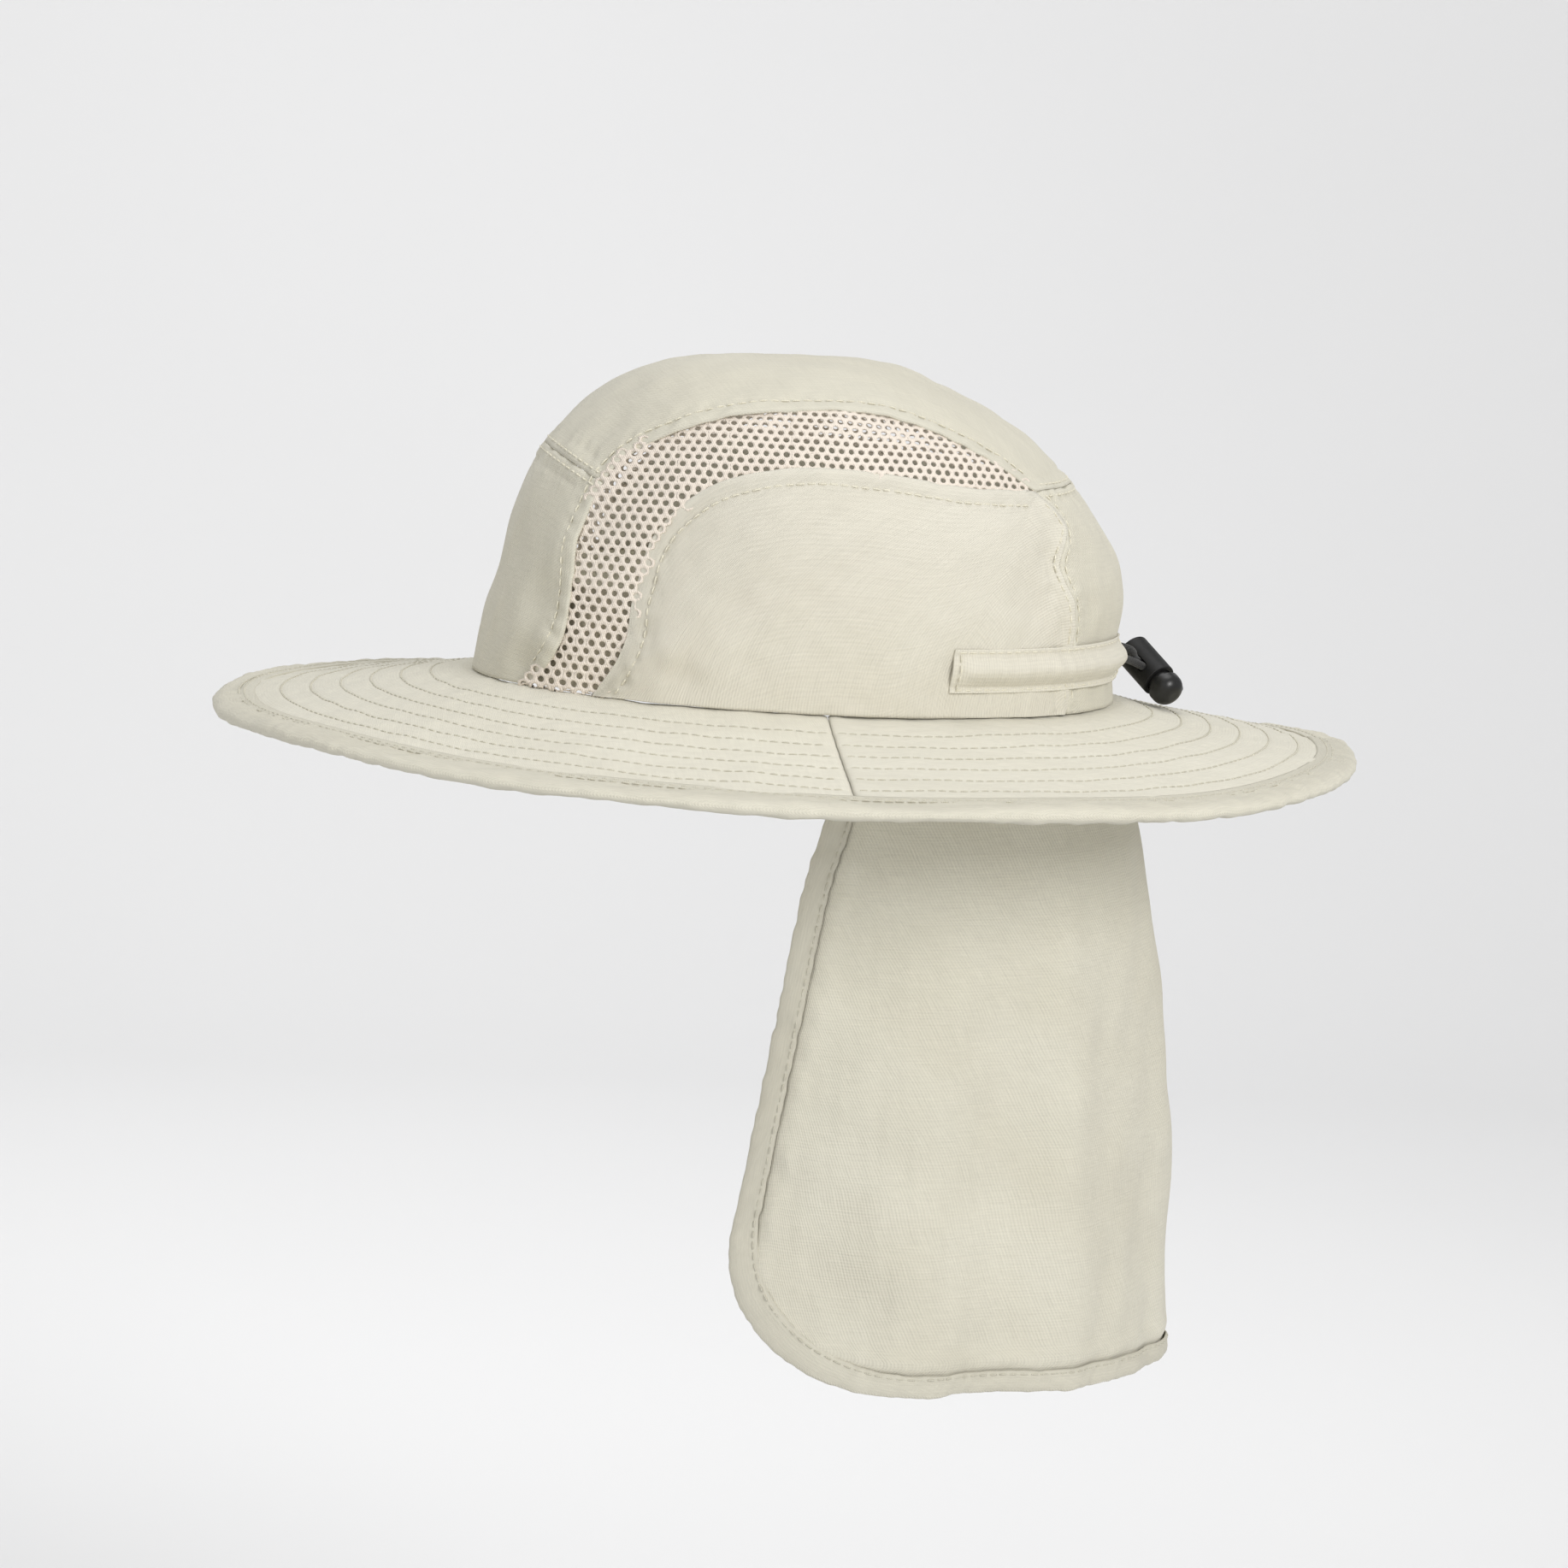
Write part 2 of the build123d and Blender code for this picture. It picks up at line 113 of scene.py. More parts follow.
class Nodes:
    """A short way to add and link shader nodes."""

    def __init__(self, name):
        self.material = bpy.data.materials.new(name)
        self.material.use_nodes = True
        self.tree = self.material.node_tree
        self.shader = self.tree.nodes["Principled BSDF"]

    def add(self, kind, **values):
        node = self.tree.nodes.new(kind)
        for key, value in values.items():
            setattr(node, key, value)
        return node

    def link(self, source, target):
        self.tree.links.new(source, target)

    def math(self, operation, first, second):
        node = self.add("ShaderNodeMath", operation=operation)
        for slot, value in enumerate((first, second)):
            if isinstance(value, (int, float)):
                node.inputs[slot].default_value = value
            else:
                self.link(value, node.inputs[slot])
        return node.outputs[0]

    def attribute(self, name):
        node = self.add("ShaderNodeAttribute", attribute_name=name)
        return node.outputs["Vector"]

    def noise(self, vector, scale, detail=3.0):
        node = self.add("ShaderNodeTexNoise")
        node.inputs["Scale"].default_value = scale
        node.inputs["Detail"].default_value = detail
        self.link(vector, node.inputs["Vector"])
        return node.outputs["Fac"]

    def ramp(self, value, stops):
        node = self.add("ShaderNodeValToRGB")
        ramp = node.color_ramp
        for i, (place, colour) in enumerate(stops):
            stop = ramp.elements[i] if i < 2 else ramp.elements.new(place)
            stop.position = place
            stop.color = (*colour, 1)
        self.link(value, node.inputs["Fac"])
        return node.outputs["Color"]

    def mix(self, amount, first, second, blend="MIX"):
        node = self.add("ShaderNodeMix", data_type="RGBA", blend_type=blend)
        for slot, value in ((0, amount), (6, first), (7, second)):
            if isinstance(value, (int, float)):
                node.inputs[slot].default_value = value
            elif isinstance(value, tuple):
                node.inputs[slot].default_value = (*value, 1)
            else:
                self.link(value, node.inputs[slot])
        return node.outputs[2]

    def bump(self, height, strength, distance):
        node = self.add("ShaderNodeBump")
        node.inputs["Strength"].default_value = strength
        node.inputs["Distance"].default_value = distance
        self.link(height, node.inputs["Height"])
        self.link(node.outputs["Normal"], self.shader.inputs["Normal"])


def cloth(name, colour, shade, pitch_u, pitch_v, twill=0.0, bump=0.35):
    """Woven cotton. The weave follows the cloth attribute, in millimetres along both threads."""
    n = Nodes(name)
    place = n.attribute("cloth")
    split = n.add("ShaderNodeSeparateXYZ")
    n.link(place, split.inputs[0])
    u, v = split.outputs[0], split.outputs[1]
    slub = n.math("MULTIPLY", n.noise(place, 0.35, 2.0), 1.6)
    along = n.math("ADD", n.math("MULTIPLY", u, math.tau / pitch_u), n.math("MULTIPLY", v, twill))
    across = n.math("MULTIPLY", v, math.tau / pitch_v)
    rib = n.math("SINE", n.math("ADD", along, slub), 0.0)
    pick = n.math("SINE", n.math("ADD", across, slub), 0.0)
    weave = n.math("ADD", n.math("MULTIPLY", rib, 0.7), n.math("MULTIPLY", pick, 0.3))
    fuzz = n.noise(place, 3.2, 4.0)
    streaks = []
    for squeeze in ((1.9, 0.10, 1.0), (0.10, 1.9, 1.0)):
        pull = n.add("ShaderNodeVectorMath", operation="MULTIPLY")
        n.link(place, pull.inputs[0])
        pull.inputs[1].default_value = squeeze
        streaks.append(n.noise(pull.outputs[0], 1.0, 2.0))
    slubs = n.math("ADD", streaks[0], streaks[1])
    height = n.math("ADD", weave, n.math("MULTIPLY", fuzz, 0.9))
    height = n.math("ADD", height, n.math("MULTIPLY", slubs, 1.6))
    broad = n.noise(place, 0.018, 3.0)
    cloudy = n.ramp(broad, [(0.32, shade), (0.68, colour)])
    highlight_mask = n.attribute("edge_highlight")
    highlight_split = n.add("ShaderNodeSeparateXYZ")
    n.link(highlight_mask, highlight_split.inputs[0])
    pale = tuple(min(1.0, c * 1.06 + 0.01) for c in colour)
    # Paler where the attribute read above is high: a painted highlight on raised seams and edges.
    edge_pale = n.mix(n.math("MULTIPLY", highlight_split.outputs[0], 0.55), cloudy, pale)
    # Colour darker in the weave's furrows and lighter on its raised threads: painted shade.
    thread_shade = n.math("ADD", n.math("MULTIPLY", weave, 0.050), 0.985)
    fleck = n.math("ADD", n.math("MULTIPLY", fuzz, 0.10), 0.95)
    tint = n.math("MULTIPLY", thread_shade, fleck)
    tint = n.math("MULTIPLY", tint, n.math("ADD", n.math("MULTIPLY", slubs, 0.16), 0.84))
    gray = n.add("ShaderNodeCombineXYZ")
    for slot in range(3):
        n.link(tint, gray.inputs[slot])
    n.link(n.mix(1.0, edge_pale, gray.outputs[0], "MULTIPLY"), n.shader.inputs["Base Color"])
    rough = n.math("ADD", n.math("MULTIPLY", fuzz, 0.12), 0.80)
    n.link(rough, n.shader.inputs["Roughness"])
    n.shader.inputs["Sheen Weight"].default_value = 0.12
    n.shader.inputs["Sheen Roughness"].default_value = 0.5
    n.shader.inputs["Specular IOR Level"].default_value = 0.25
    n.bump(height, bump, 0.00012)
    return n.material


def plastic(name, colour, low_rough, high_rough, grain, bump):
    n = Nodes(name)
    place = n.add("ShaderNodeTexCoord").outputs["Object"]
    grain_fac = n.noise(place, grain, 4.0)
    smear = n.noise(place, 160.0, 2.0)
    pale = tuple(c * 1.8 + 0.004 for c in colour)
    n.link(n.ramp(smear, [(0.35, colour), (0.75, pale)]), n.shader.inputs["Base Color"])
    span = high_rough - low_rough
    n.link(n.math("ADD", n.math("MULTIPLY", grain_fac, span), low_rough), n.shader.inputs["Roughness"])
    n.bump(grain_fac, bump, 0.0001)
    return n.material


def braid(name):
    """Black elastic: a braided cover of fine threads, from object coordinates."""
    n = Nodes(name)
    place = n.add("ShaderNodeTexCoord").outputs["Object"]
    wave = n.add("ShaderNodeTexVoronoi")
    wave.inputs["Scale"].default_value = 1900.0
    n.link(place, wave.inputs["Vector"])
    cell = wave.outputs["Distance"]
    n.link(n.ramp(cell, [(0.1, (0.035, 0.034, 0.032)), (0.8, (0.010, 0.010, 0.010))]),
           n.shader.inputs["Base Color"])
    n.link(n.math("ADD", n.math("MULTIPLY", cell, 0.2), 0.55), n.shader.inputs["Roughness"])
    n.shader.inputs["Sheen Weight"].default_value = 0.2
    n.bump(cell, 0.5, 0.00025)
    return n.material


CREAM = (0.695, 0.668, 0.562)
CREAM_SHADE = (0.660, 0.630, 0.524)
WARM = (0.732, 0.702, 0.605)
WARM_SHADE = (0.700, 0.666, 0.566)
twill = cloth("twill", CREAM, CREAM_SHADE, 0.95, 0.95, twill=math.tau / 1.1, bump=0.5)
ribbed = cloth("ribbed_cotton", WARM, WARM_SHADE, 0.9, 1.5, bump=0.5)
brim_cloth = cloth("brim_cotton", (0.745, 0.718, 0.615), (0.712, 0.684, 0.580), 0.75, 0.9, twill=2.2)
flap_cloth = cloth("flap_cotton", (0.700, 0.674, 0.570), (0.655, 0.625, 0.518), 1.1, 0.9, bump=0.5)
tape = cloth("sweatband_twill", (0.68, 0.64, 0.52), (0.64, 0.60, 0.48), 1.0, 0.6, twill=3.0)
knit = cloth("mesh_knit", (0.90, 0.815, 0.715), (0.86, 0.77, 0.67), 0.55, 0.42, twill=4.0, bump=0.6)
thread = cloth("thread", (0.86, 0.82, 0.68), (0.82, 0.78, 0.64), 0.5, 0.5, twill=3.0, bump=0.6)
# Thread darker than the cloth it sews: painted shade along the stitch rows.
shade_dark_thread = cloth("shade_dark_thread", (0.66, 0.635, 0.53), (0.61, 0.585, 0.48), 0.5, 0.5, twill=3.0, bump=0.6)
interlining = cloth("interlining", (0.80, 0.79, 0.72), (0.76, 0.75, 0.68), 1.4, 1.4)
elastic = braid("elastic_braid")
barrel_black = plastic("barrel_black", (0.006, 0.006, 0.006), 0.40, 0.58, 2600.0, 0.35)
barrel_black.node_tree.nodes["Principled BSDF"].inputs["Specular IOR Level"].default_value = 0.3
plunger_black = plastic("plunger_black", (0.005, 0.005, 0.005), 0.24, 0.38, 1500.0, 0.12)
spring_steel = plastic("spring_steel", (0.45, 0.45, 0.46), 0.25, 0.4, 900.0, 0.1)
spring_steel.node_tree.nodes["Principled BSDF"].inputs["Metallic"].default_value = 1.0


# Mesh helpers ----------------------------------------------------------------------------------


def smoothstep(x):
    x = np.clip(x, 0.0, 1.0)
    return x * x * (3 - 2 * x)


def ripple(points, wavelength, seed, waves=7):
    """Smooth noise from about -1 to 1, a sum of plane waves."""
    rng = np.random.default_rng(seed)
    total = np.zeros(points.shape[:-1])
    for _ in range(waves):
        way = rng.normal(size=3)
        way /= np.linalg.norm(way)
        length = wavelength * rng.uniform(0.75, 1.4)
        total += np.sin(points @ way * (math.tau / length) + rng.uniform(0, math.tau))
    return total / math.sqrt(waves) / 1.2


def grid_normals(grid, closed=False):
    if closed:
        du = np.roll(grid, -1, 0) - np.roll(grid, 1, 0)
    else:
        du = np.gradient(grid, axis=0)
    dv = np.gradient(grid, axis=1)
    normal = np.cross(du, dv)
    length = np.linalg.norm(normal, axis=-1, keepdims=True)
    return normal / np.maximum(length, 1e-9)


def cloth_lengths(grid):
    """Millimetres along both directions of a grid, for the weave."""
    du = np.linalg.norm(np.diff(grid, axis=0), axis=-1)
    dv = np.linalg.norm(np.diff(grid, axis=1), axis=-1)
    u = np.concatenate([np.zeros((1, grid.shape[1])), np.cumsum(du, 0)], 0)
    v = np.concatenate([np.zeros((grid.shape[0], 1)), np.cumsum(dv, 1)], 1)
    return u, v


def make_mesh(name, points, faces, material, cloth_place=None, edge_highlight=None):
    """A smooth mesh object from millimetre points."""
    mesh = bpy.data.meshes.new(name)
    mesh.from_pydata([tuple(p) for p in np.asarray(points) * MM], [], faces)
    mesh.polygons.foreach_set("use_smooth", [True] * len(mesh.polygons))
    place = np.asarray(points if cloth_place is None else cloth_place, dtype=float)
    layer = mesh.attributes.new("cloth", "FLOAT_VECTOR", "POINT")
    layer.data.foreach_set("vector", np.ascontiguousarray(place, dtype=np.float32).ravel())
    highlight_mask = np.zeros((len(place), 3))
    if edge_highlight is not None:
        highlight_mask[:, 0] = np.asarray(edge_highlight).ravel()
    # The second attribute marks a painted highlight along raised seams and edges.
    layer = mesh.attributes.new("edge_highlight", "FLOAT_VECTOR", "POINT")
    layer.data.foreach_set("vector", highlight_mask.astype(np.float32).ravel())
    mesh.materials.append(material)
    mesh.update()
    piece = bpy.data.objects.new(name, mesh)
    bpy.context.scene.collection.objects.link(piece)
    return piece


def sheet_piece(name, grid, thickness, material, closed=False, edge_highlight=None, origin=(0.0, 0.0)):
    """A closed cloth piece: grid is its outer face, the inner one lies thickness behind it."""
    normals = grid_normals(grid, closed)
    inner = grid - normals * thickness
    rows, columns = grid.shape[:2]
    count = rows * columns
    index = np.arange(count).reshape(rows, columns)
    faces = []
    last = rows if closed else rows - 1
    for i in range(last):
        k = (i + 1) % rows
        for j in range(columns - 1):
            a, b, c, d = index[i, j], index[k, j], index[k, j + 1], index[i, j + 1]
            faces.append((a, b, c, d))
            faces.append((d + count, c + count, b + count, a + count))
    for i in range(last):
        k = (i + 1) % rows
        a, b = index[i, 0], index[k, 0]
        faces.append((b, a, a + count, b + count))
        a, b = index[i, -1], index[k, -1]
        faces.append((a, b, b + count, a + count))
    if not closed:
        for j in range(columns - 1):
            a, b = index[0, j], index[0, j + 1]
            faces.append((a, b, b + count, a + count))
            a, b = index[-1, j], index[-1, j + 1]
            faces.append((b, a, a + count, b + count))
    u, v = cloth_lengths(grid)
    place = np.stack([u + origin[0], v + origin[1], np.zeros_like(u)], -1).reshape(-1, 3)
    back = place + np.array([0, 0, 7.0])
    highlight_mask = None if edge_highlight is None else np.concatenate([edge_highlight.ravel(), edge_highlight.ravel()])
    points = np.concatenate([grid.reshape(-1, 3), inner.reshape(-1, 3)])
    return make_mesh(name, points, faces, material, np.concatenate([place, back]), highlight_mask)


def distance_to_line(points, line):
    """Shortest distance from each point to a polyline's samples."""
    flat = points.reshape(-1, 3)
    best = np.full(len(flat), 1e9)
    for start in range(0, len(line), 64):
        gap = np.linalg.norm(flat[:, None] - line[None, start:start + 64], axis=-1).min(1)
        best = np.minimum(best, gap)
    return best.reshape(points.shape[:-1])


def resample(line, step):
    """Points every step millimetres along a polyline."""
    length = np.concatenate([[0], np.cumsum(np.linalg.norm(np.diff(line, axis=0), axis=1))])
    count = max(2, int(length[-1] / step) + 1)
    want = np.linspace(0, length[-1], count)
    return np.stack([np.interp(want, length, line[:, k]) for k in range(3)], -1)


STITCH, STITCH_GAP = 2.5, 0.75


def build_stitches(name, rows, material, seed, radius=0.27):
    """Rows of single stitches. Each row is a polyline with the cloth's normals beside it."""
    rng = np.random.default_rng(seed)
    points, faces = [], []
    # Where along the stitch, how wide, how high
    rings = [
        (-0.5, 0.10, -0.55), (-0.42, 0.85, -0.10), (0.0, 1.0, 0.30), (0.42, 0.85, -0.10), (0.5, 0.10, -0.55),
    ]
    sides = 5
    for line, normals in rows:
        length = np.concatenate([[0], np.cumsum(np.linalg.norm(np.diff(line, axis=0), axis=1))])
        pitch = STITCH + STITCH_GAP
        for k in range(int(length[-1] / pitch)):
            middle = (k + 0.5) * pitch + rng.normal(0, 0.08)
            half = STITCH / 2 + rng.normal(0, 0.06)
            ends = [
                np.array([np.interp(middle + t, length, line[:, c]) for c in range(3)]) for t in (-half, half)
            ]
            up = np.array([np.interp(middle, length, normals[:, c]) for c in range(3)])
            up /= np.linalg.norm(up)
            way = ends[1] - ends[0]
            size = np.linalg.norm(way)
            way /= max(size, 1e-6)
            side = np.cross(way, up)
            centre = (ends[0] + ends[1]) / 2
            base = len(points)
            for place, swell, rise in rings:
                heart = centre + way * place * size + up * (rise * radius + 0.06)
                for s in range(sides):
                    turn = math.tau * s / sides
                    points.append(heart + (side * math.cos(turn) + up * math.sin(turn)) * radius * swell)
            for r in range(len(rings) - 1):
                for s in range(sides):
                    a = base + r * sides + s
                    b = base + r * sides + (s + 1) % sides
                    faces.append((a, b, b + sides, a + sides))
            faces.append(tuple(base + s for s in reversed(range(sides))))
            top = base + (len(rings) - 1) * sides
            faces.append(tuple(top + s for s in range(sides)))
    return make_mesh(name, np.array(points), faces, material)


def stitch_rows(name, rows, material, seed):
    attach(build_stitches(name, rows, material, seed), "hat")


# Crown form ------------------------------------------------------------------------------------

# height share, then front, back and half width as shares of the head opening's
PROFILE = np.array([
    (0.00, 1.000, 1.000, 1.000),
    (0.12, 0.980, 0.985, 1.010),
    (0.30, 0.935, 0.995, 1.010),
    (0.45, 0.900, 0.960, 0.985),
    (0.58, 0.855, 0.880, 0.945),
    (0.70, 0.795, 0.770, 0.880),
    (0.80, 0.715, 0.665, 0.790),
    (0.88, 0.615, 0.540, 0.675),
    (0.94, 0.480, 0.390, 0.530),
    (0.98, 0.285, 0.260, 0.365),
    (1.00, 0.000, 0.000, 0.000),
])


def hermite(knots, values, x):
    """Smooth curve through the knots."""
    slope = np.gradient(values, knots)
    i = np.clip(np.searchsorted(knots, x) - 1, 0, len(knots) - 2)
    width = knots[i + 1] - knots[i]
    t = (x - knots[i]) / width
    return ((2 * t**3 - 3 * t**2 + 1) * values[i] + (t**3 - 2 * t**2 + t) * width * slope[i]
            + (3 * t**2 - 2 * t**3) * values[i + 1] + (t**3 - t**2) * width * slope[i + 1])


ROOT = np.sqrt(1 - PROFILE[:, 0])[::-1]


def crown_widths(z):
    """Front x, back x and half width of the crown at height z."""
    root = np.sqrt(np.clip(1 - z / crown_height, 0, 1))
    front = -head_front * hermite(ROOT, PROFILE[::-1, 1], root)
    back = head_back * hermite(ROOT, PROFILE[::-1, 2], root)
    side = head_half_width * hermite(ROOT, PROFILE[::-1, 3], root)
    return front, back, np.maximum(side, 1e-3)


HEART = np.array([4.0, 0.0, 16.0])


def on_crown(points):
    """Moves points along lines from the crown's heart onto its surface."""
    ray = points - HEART
    low = np.zeros(points.shape[:-1])
    high = np.full(points.shape[:-1], 3.0)
    for _ in range(36):
        mid = (low + high) / 2
        place = HEART + ray * mid[..., None]
        front, back, side = crown_widths(place[..., 2])
        half = np.maximum((back - front) / 2, 1e-3)
        centre = (front + back) / 2
        out = ((place[..., 0] - centre) / half) ** 2 + (place[..., 1] / side) ** 2 > 1
        out |= place[..., 2] > crown_height
        high = np.where(out, mid, high)
        low = np.where(out, low, mid)
    return HEART + ray * low[..., None]


def side_view_point(x, z, sign):
    """The crown's surface point at this x and z, on the left (-1) or the right (1)."""
    front, back, side = crown_widths(z)
    centre, half = (front + back) / 2, (back - front) / 2
    y = side * np.sqrt(np.clip(1 - ((x - centre) / half) ** 2, 0.0, 1))
    return np.stack([x, sign * y, z], -1)


def curve_2d(points, count):
    """Points spread evenly on a smooth curve through a few side-view points."""
    points = np.array(points, float)
    knots = np.concatenate([[0], np.cumsum(np.linalg.norm(np.diff(points, axis=0), axis=1))])
    fine = np.linspace(0, knots[-1], 600)
    xs, zs = hermite(knots, points[:, 0], fine), hermite(knots, points[:, 1], fine)
    length = np.concatenate([[0], np.cumsum(np.hypot(np.diff(xs), np.diff(zs)))])
    want = np.linspace(0, length[-1], count)
    return np.interp(want, length, xs), np.interp(want, length, zs)


# Seams in side view, as (x, z)
VENT_FRONT = [
    (-84, 0), (-76, 12), (-73, 30), (-70.5, 48), (-61, 68),
    (-40, 80), (-8, 86.5), (22, 85), (46, 75.5), (64, 65.5),
]
VENT_REAR = [
    (-66, 0), (-58.5, 14), (-56, 32), (-51, 49), (-38, 62.5), (-18, 69.5), (12, 70.5), (42, 66.5), (64, 65.5),
]
BACK_SEAM = [(64, 65.5), (74, 55), (72.5, 44), (77, 31), (76.5, 12), (76.5, 0)]
FRONT_SEAM_X = -65.5

vent_front = curve_2d(VENT_FRONT, 400)
vent_rear = curve_2d(VENT_REAR, 400)
back_seam = curve_2d(BACK_SEAM, 200)


def seam_line(curve, sign):
    return side_view_point(curve[0], curve[1], sign)


def part_of(curve, first, last, count):
    """count points of a curve between two shares of its length."""
    place = np.linspace(first, last, count) * (len(curve[0]) - 1)
    steps = np.arange(len(curve[0]))
    return np.interp(place, steps, curve[0]), np.interp(place, steps, curve[1])


front_share = float(np.argmin(np.abs(vent_front[0] - FRONT_SEAM_X) + 100 * (vent_front[1] < 40)) / 399)


# Soft hollows in the crown as (centre, radius, depth); a negative depth is a swelling
DENTS = [
    ((-84, -38, 27), 8, 2.4), ((-82, -45, 14), 6, -1.8), ((-86, -38, 6), 6, 1.6), ((-88, -22, 40), 10, 1.2),
    ((-92, 12, 30), 16, 1.2), ((-84, -8, 56), 18, -1.0), ((-78, -44, 44), 6, -1.0), ((-94, -14, 12), 8, 1.0),
    ((99, -14, 40), 13, -1.2), ((98, 0, 22), 12, 1.2), ((84, -42, 50), 8, 0.9), ((90, 30, 45), 14, -0.8),
    ((-30, -20, 99), 30, -1.0), ((20, 25, 99), 26, 0.8), ((48, -10, 90), 16, 0.9), ((-58, -25, 82), 12, 0.8),
]
for _sign in (-1, 1):
    DENTS += [
        ((68, _sign * 51, 46), 6, 2.6), ((61, _sign * 57, 35), 9, 1.5), ((-53, _sign * 63, 20), 5, 1.7),
        ((-46, _sign * 68, 16), 5, -1.3), ((-55, _sign * 63, 33), 6, 1.1), ((-40, _sign * 70, 7), 6, 1.3),
        ((0, _sign * 74, 30), 40, -1.0), ((30, _sign * 72, 40), 14, 0.8), ((50, _sign * 62, 52), 9, -0.9),
        ((76, _sign * 48, 36), 6, -1.2), ((-34, _sign * 72, 22), 9, -0.8), ((-61, _sign * 60, 60), 8, 0.6),
    ]


def dent(grid, centre, radius, depth):
    """Presses a soft hollow (or, with a negative depth, a swelling) into a grid."""
    gap = np.linalg.norm(grid - np.array(centre, float), axis=-1)
    return -depth * np.exp(-(gap / radius) ** 2)


def soften(grid, seams, seed, outward=1.0, lift=0.5, puff=0.35, row=5.0, loose=0.5):
    """Cloth relief on a crown panel: raised seam edges, a stitched row, puckers and soft waves."""
    normals = grid_normals(grid) * outward
    gap = np.full(grid.shape[:2], 1e9)
    for seam in seams:
        gap = np.minimum(gap, distance_to_line(grid, seam))
    near = np.exp(-(gap / 7.0) ** 2)
    height = lift * 0.55 * (1 - smoothstep(gap / (row + 1.5)))
    height += puff * 0.45 * np.exp(-((gap - row * 0.5) / (row * 0.33)) ** 2)
    height -= 0.34 * np.exp(-((gap - row) / 0.7) ** 2)
    height += 0.30 * near * ripple(grid, 6.0, seed)
    height += 0.32 * np.exp(-((gap - row) / 3.0) ** 2) * ripple(grid, 4.2, seed + 3)
    height += 0.5 * ripple(grid, 46.0, 2) + 0.22 * ripple(grid, 15.0, 3)
    height += 0.25 * loose * (1 - near) * ripple(grid, 9.0, seed + 2)
    for centre, radius, depth in DENTS:
        height += dent(grid, centre, radius, depth)
    # Paler right along the seams: a painted highlight on the raised seam edges.
    edge_highlight = np.exp(-(gap / 1.2) ** 2)
    return grid + normals * height[..., None], edge_highlight


def offset_line(seam, toward, offset):
    """A line on the crown at a distance from a seam, on the side that toward lies."""
    way = np.gradient(seam, axis=0)
    way /= np.linalg.norm(way, axis=1, keepdims=True)
    out = seam - HEART
    out /= np.linalg.norm(out, axis=1, keepdims=True)
    side = np.cross(way, out)
    side /= np.linalg.norm(side, axis=1, keepdims=True)
    middle = len(seam) // 2
    if (toward - seam[middle]) @ side[middle] < 0:
        side = -side
    line = on_crown(seam + side * offset)
    up = np.cross(way, side)
    flip = np.sign(np.sum(up * out, axis=1, keepdims=True))
    return line, up * flip


crown_rows = []
panel_faces = []  # the finished outer faces of the crown's panels


def sew(seam, toward, offset):
    line, up = offset_line(seam, np.array(toward, float), offset)
    line = resample(line, 1.0)
    ups = resample_like(up, len(line))
    faces = np.concatenate(panel_faces)
    rise = np.zeros(len(line))
    for k, (place, way) in enumerate(zip(line, ups)):
        gap = np.linalg.norm(faces - place, axis=1)
        near = np.argsort(gap)[:4]
        rise[k] = np.mean((faces[near] - place) @ way)
    rise = np.convolve(np.pad(rise, 2, mode="edge"), np.full(5, 0.2), mode="valid")
    crown_rows.append((line + ups * (rise + 0.08)[:, None], ups))


def resample_like(values, count):
    place = np.linspace(0, len(values) - 1, count)
    steps = np.arange(len(values))
    return np.stack([np.interp(place, steps, values[:, k]) for k in range(3)], -1)


PANEL = 0.75  # thickness of a crown panel


def make_side_panel(side, sign):
    """Bounded by the mesh vent in front and above, and by the back panel behind."""
    columns, rows = 130, 72
    edge_x = np.concatenate([vent_rear[0], back_seam[0][1:]])
    edge_z = np.concatenate([vent_rear[1], back_seam[1][1:]])
    top = part_of((edge_x, edge_z), 0, 1, columns)
    share = np.linspace(0, 1, columns)
    bottom_x = -66 + (76.5 + 66) * share
    down = np.linspace(0, 1, rows)[None, :]
    x = top[0][:, None] * (1 - down) + bottom_x[:, None] * down
    z = top[1][:, None] * (1 - down)
    grid = side_view_point(x, z, sign)
    seams = [seam_line(vent_rear, sign), seam_line(back_seam, sign)]
    outward = facing(grid)
    grid, edge_highlight = soften(grid, seams, 11 if sign < 0 else 12, outward, lift=0.9, loose=0.5)
    panel_faces.append(grid.reshape(-1, 3))
    if outward < 0:
        grid, edge_highlight = grid[::-1], edge_highlight[::-1]
    piece = sheet_piece(f"side_panel_{side}_cloth", grid, PANEL, ribbed, edge_highlight=edge_highlight)
    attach(piece, "hat")
    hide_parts(f"side_panel_{side}")


def facing(grid):
    """1 if a crown grid's normals point outward, else -1."""
    normals = grid_normals(grid)
    i, j = grid.shape[0] // 2, grid.shape[1] // 2
    return 1.0 if normals[i, j] @ (grid[i, j] - HEART) > 0 else -1.0


def finish_panel(name, grid, seams, seed, material, slot, nodes, **relief):
    outward = facing(grid)
    grid, edge_highlight = soften(grid, seams, seed, outward, **relief)
    panel_faces.append(grid.reshape(-1, 3))
    if outward < 0:
        grid, edge_highlight = grid[::-1], edge_highlight[::-1]
    piece = sheet_piece(name, grid, PANEL, material, edge_highlight=edge_highlight)
    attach(piece, "hat")
    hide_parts(*nodes)
    return piece


def fan(left, middle, right, count):
    """A grid between a left line and a right line that passes through a middle line."""
    s = np.linspace(-1, 1, count)[None, :, None]
    a, m, b = left[:, None], middle[:, None], right[:, None]
    flat = m + (b - a) / 2 * s + ((a + b) / 2 - m) * s**2
    return on_crown(flat)


def profile_line(first_z, last_z, front, count):
    z = np.linspace(first_z, last_z, count)
    f, b, _ = crown_widths(z)
    return np.stack([f if front else b, np.zeros(count), z], -1)


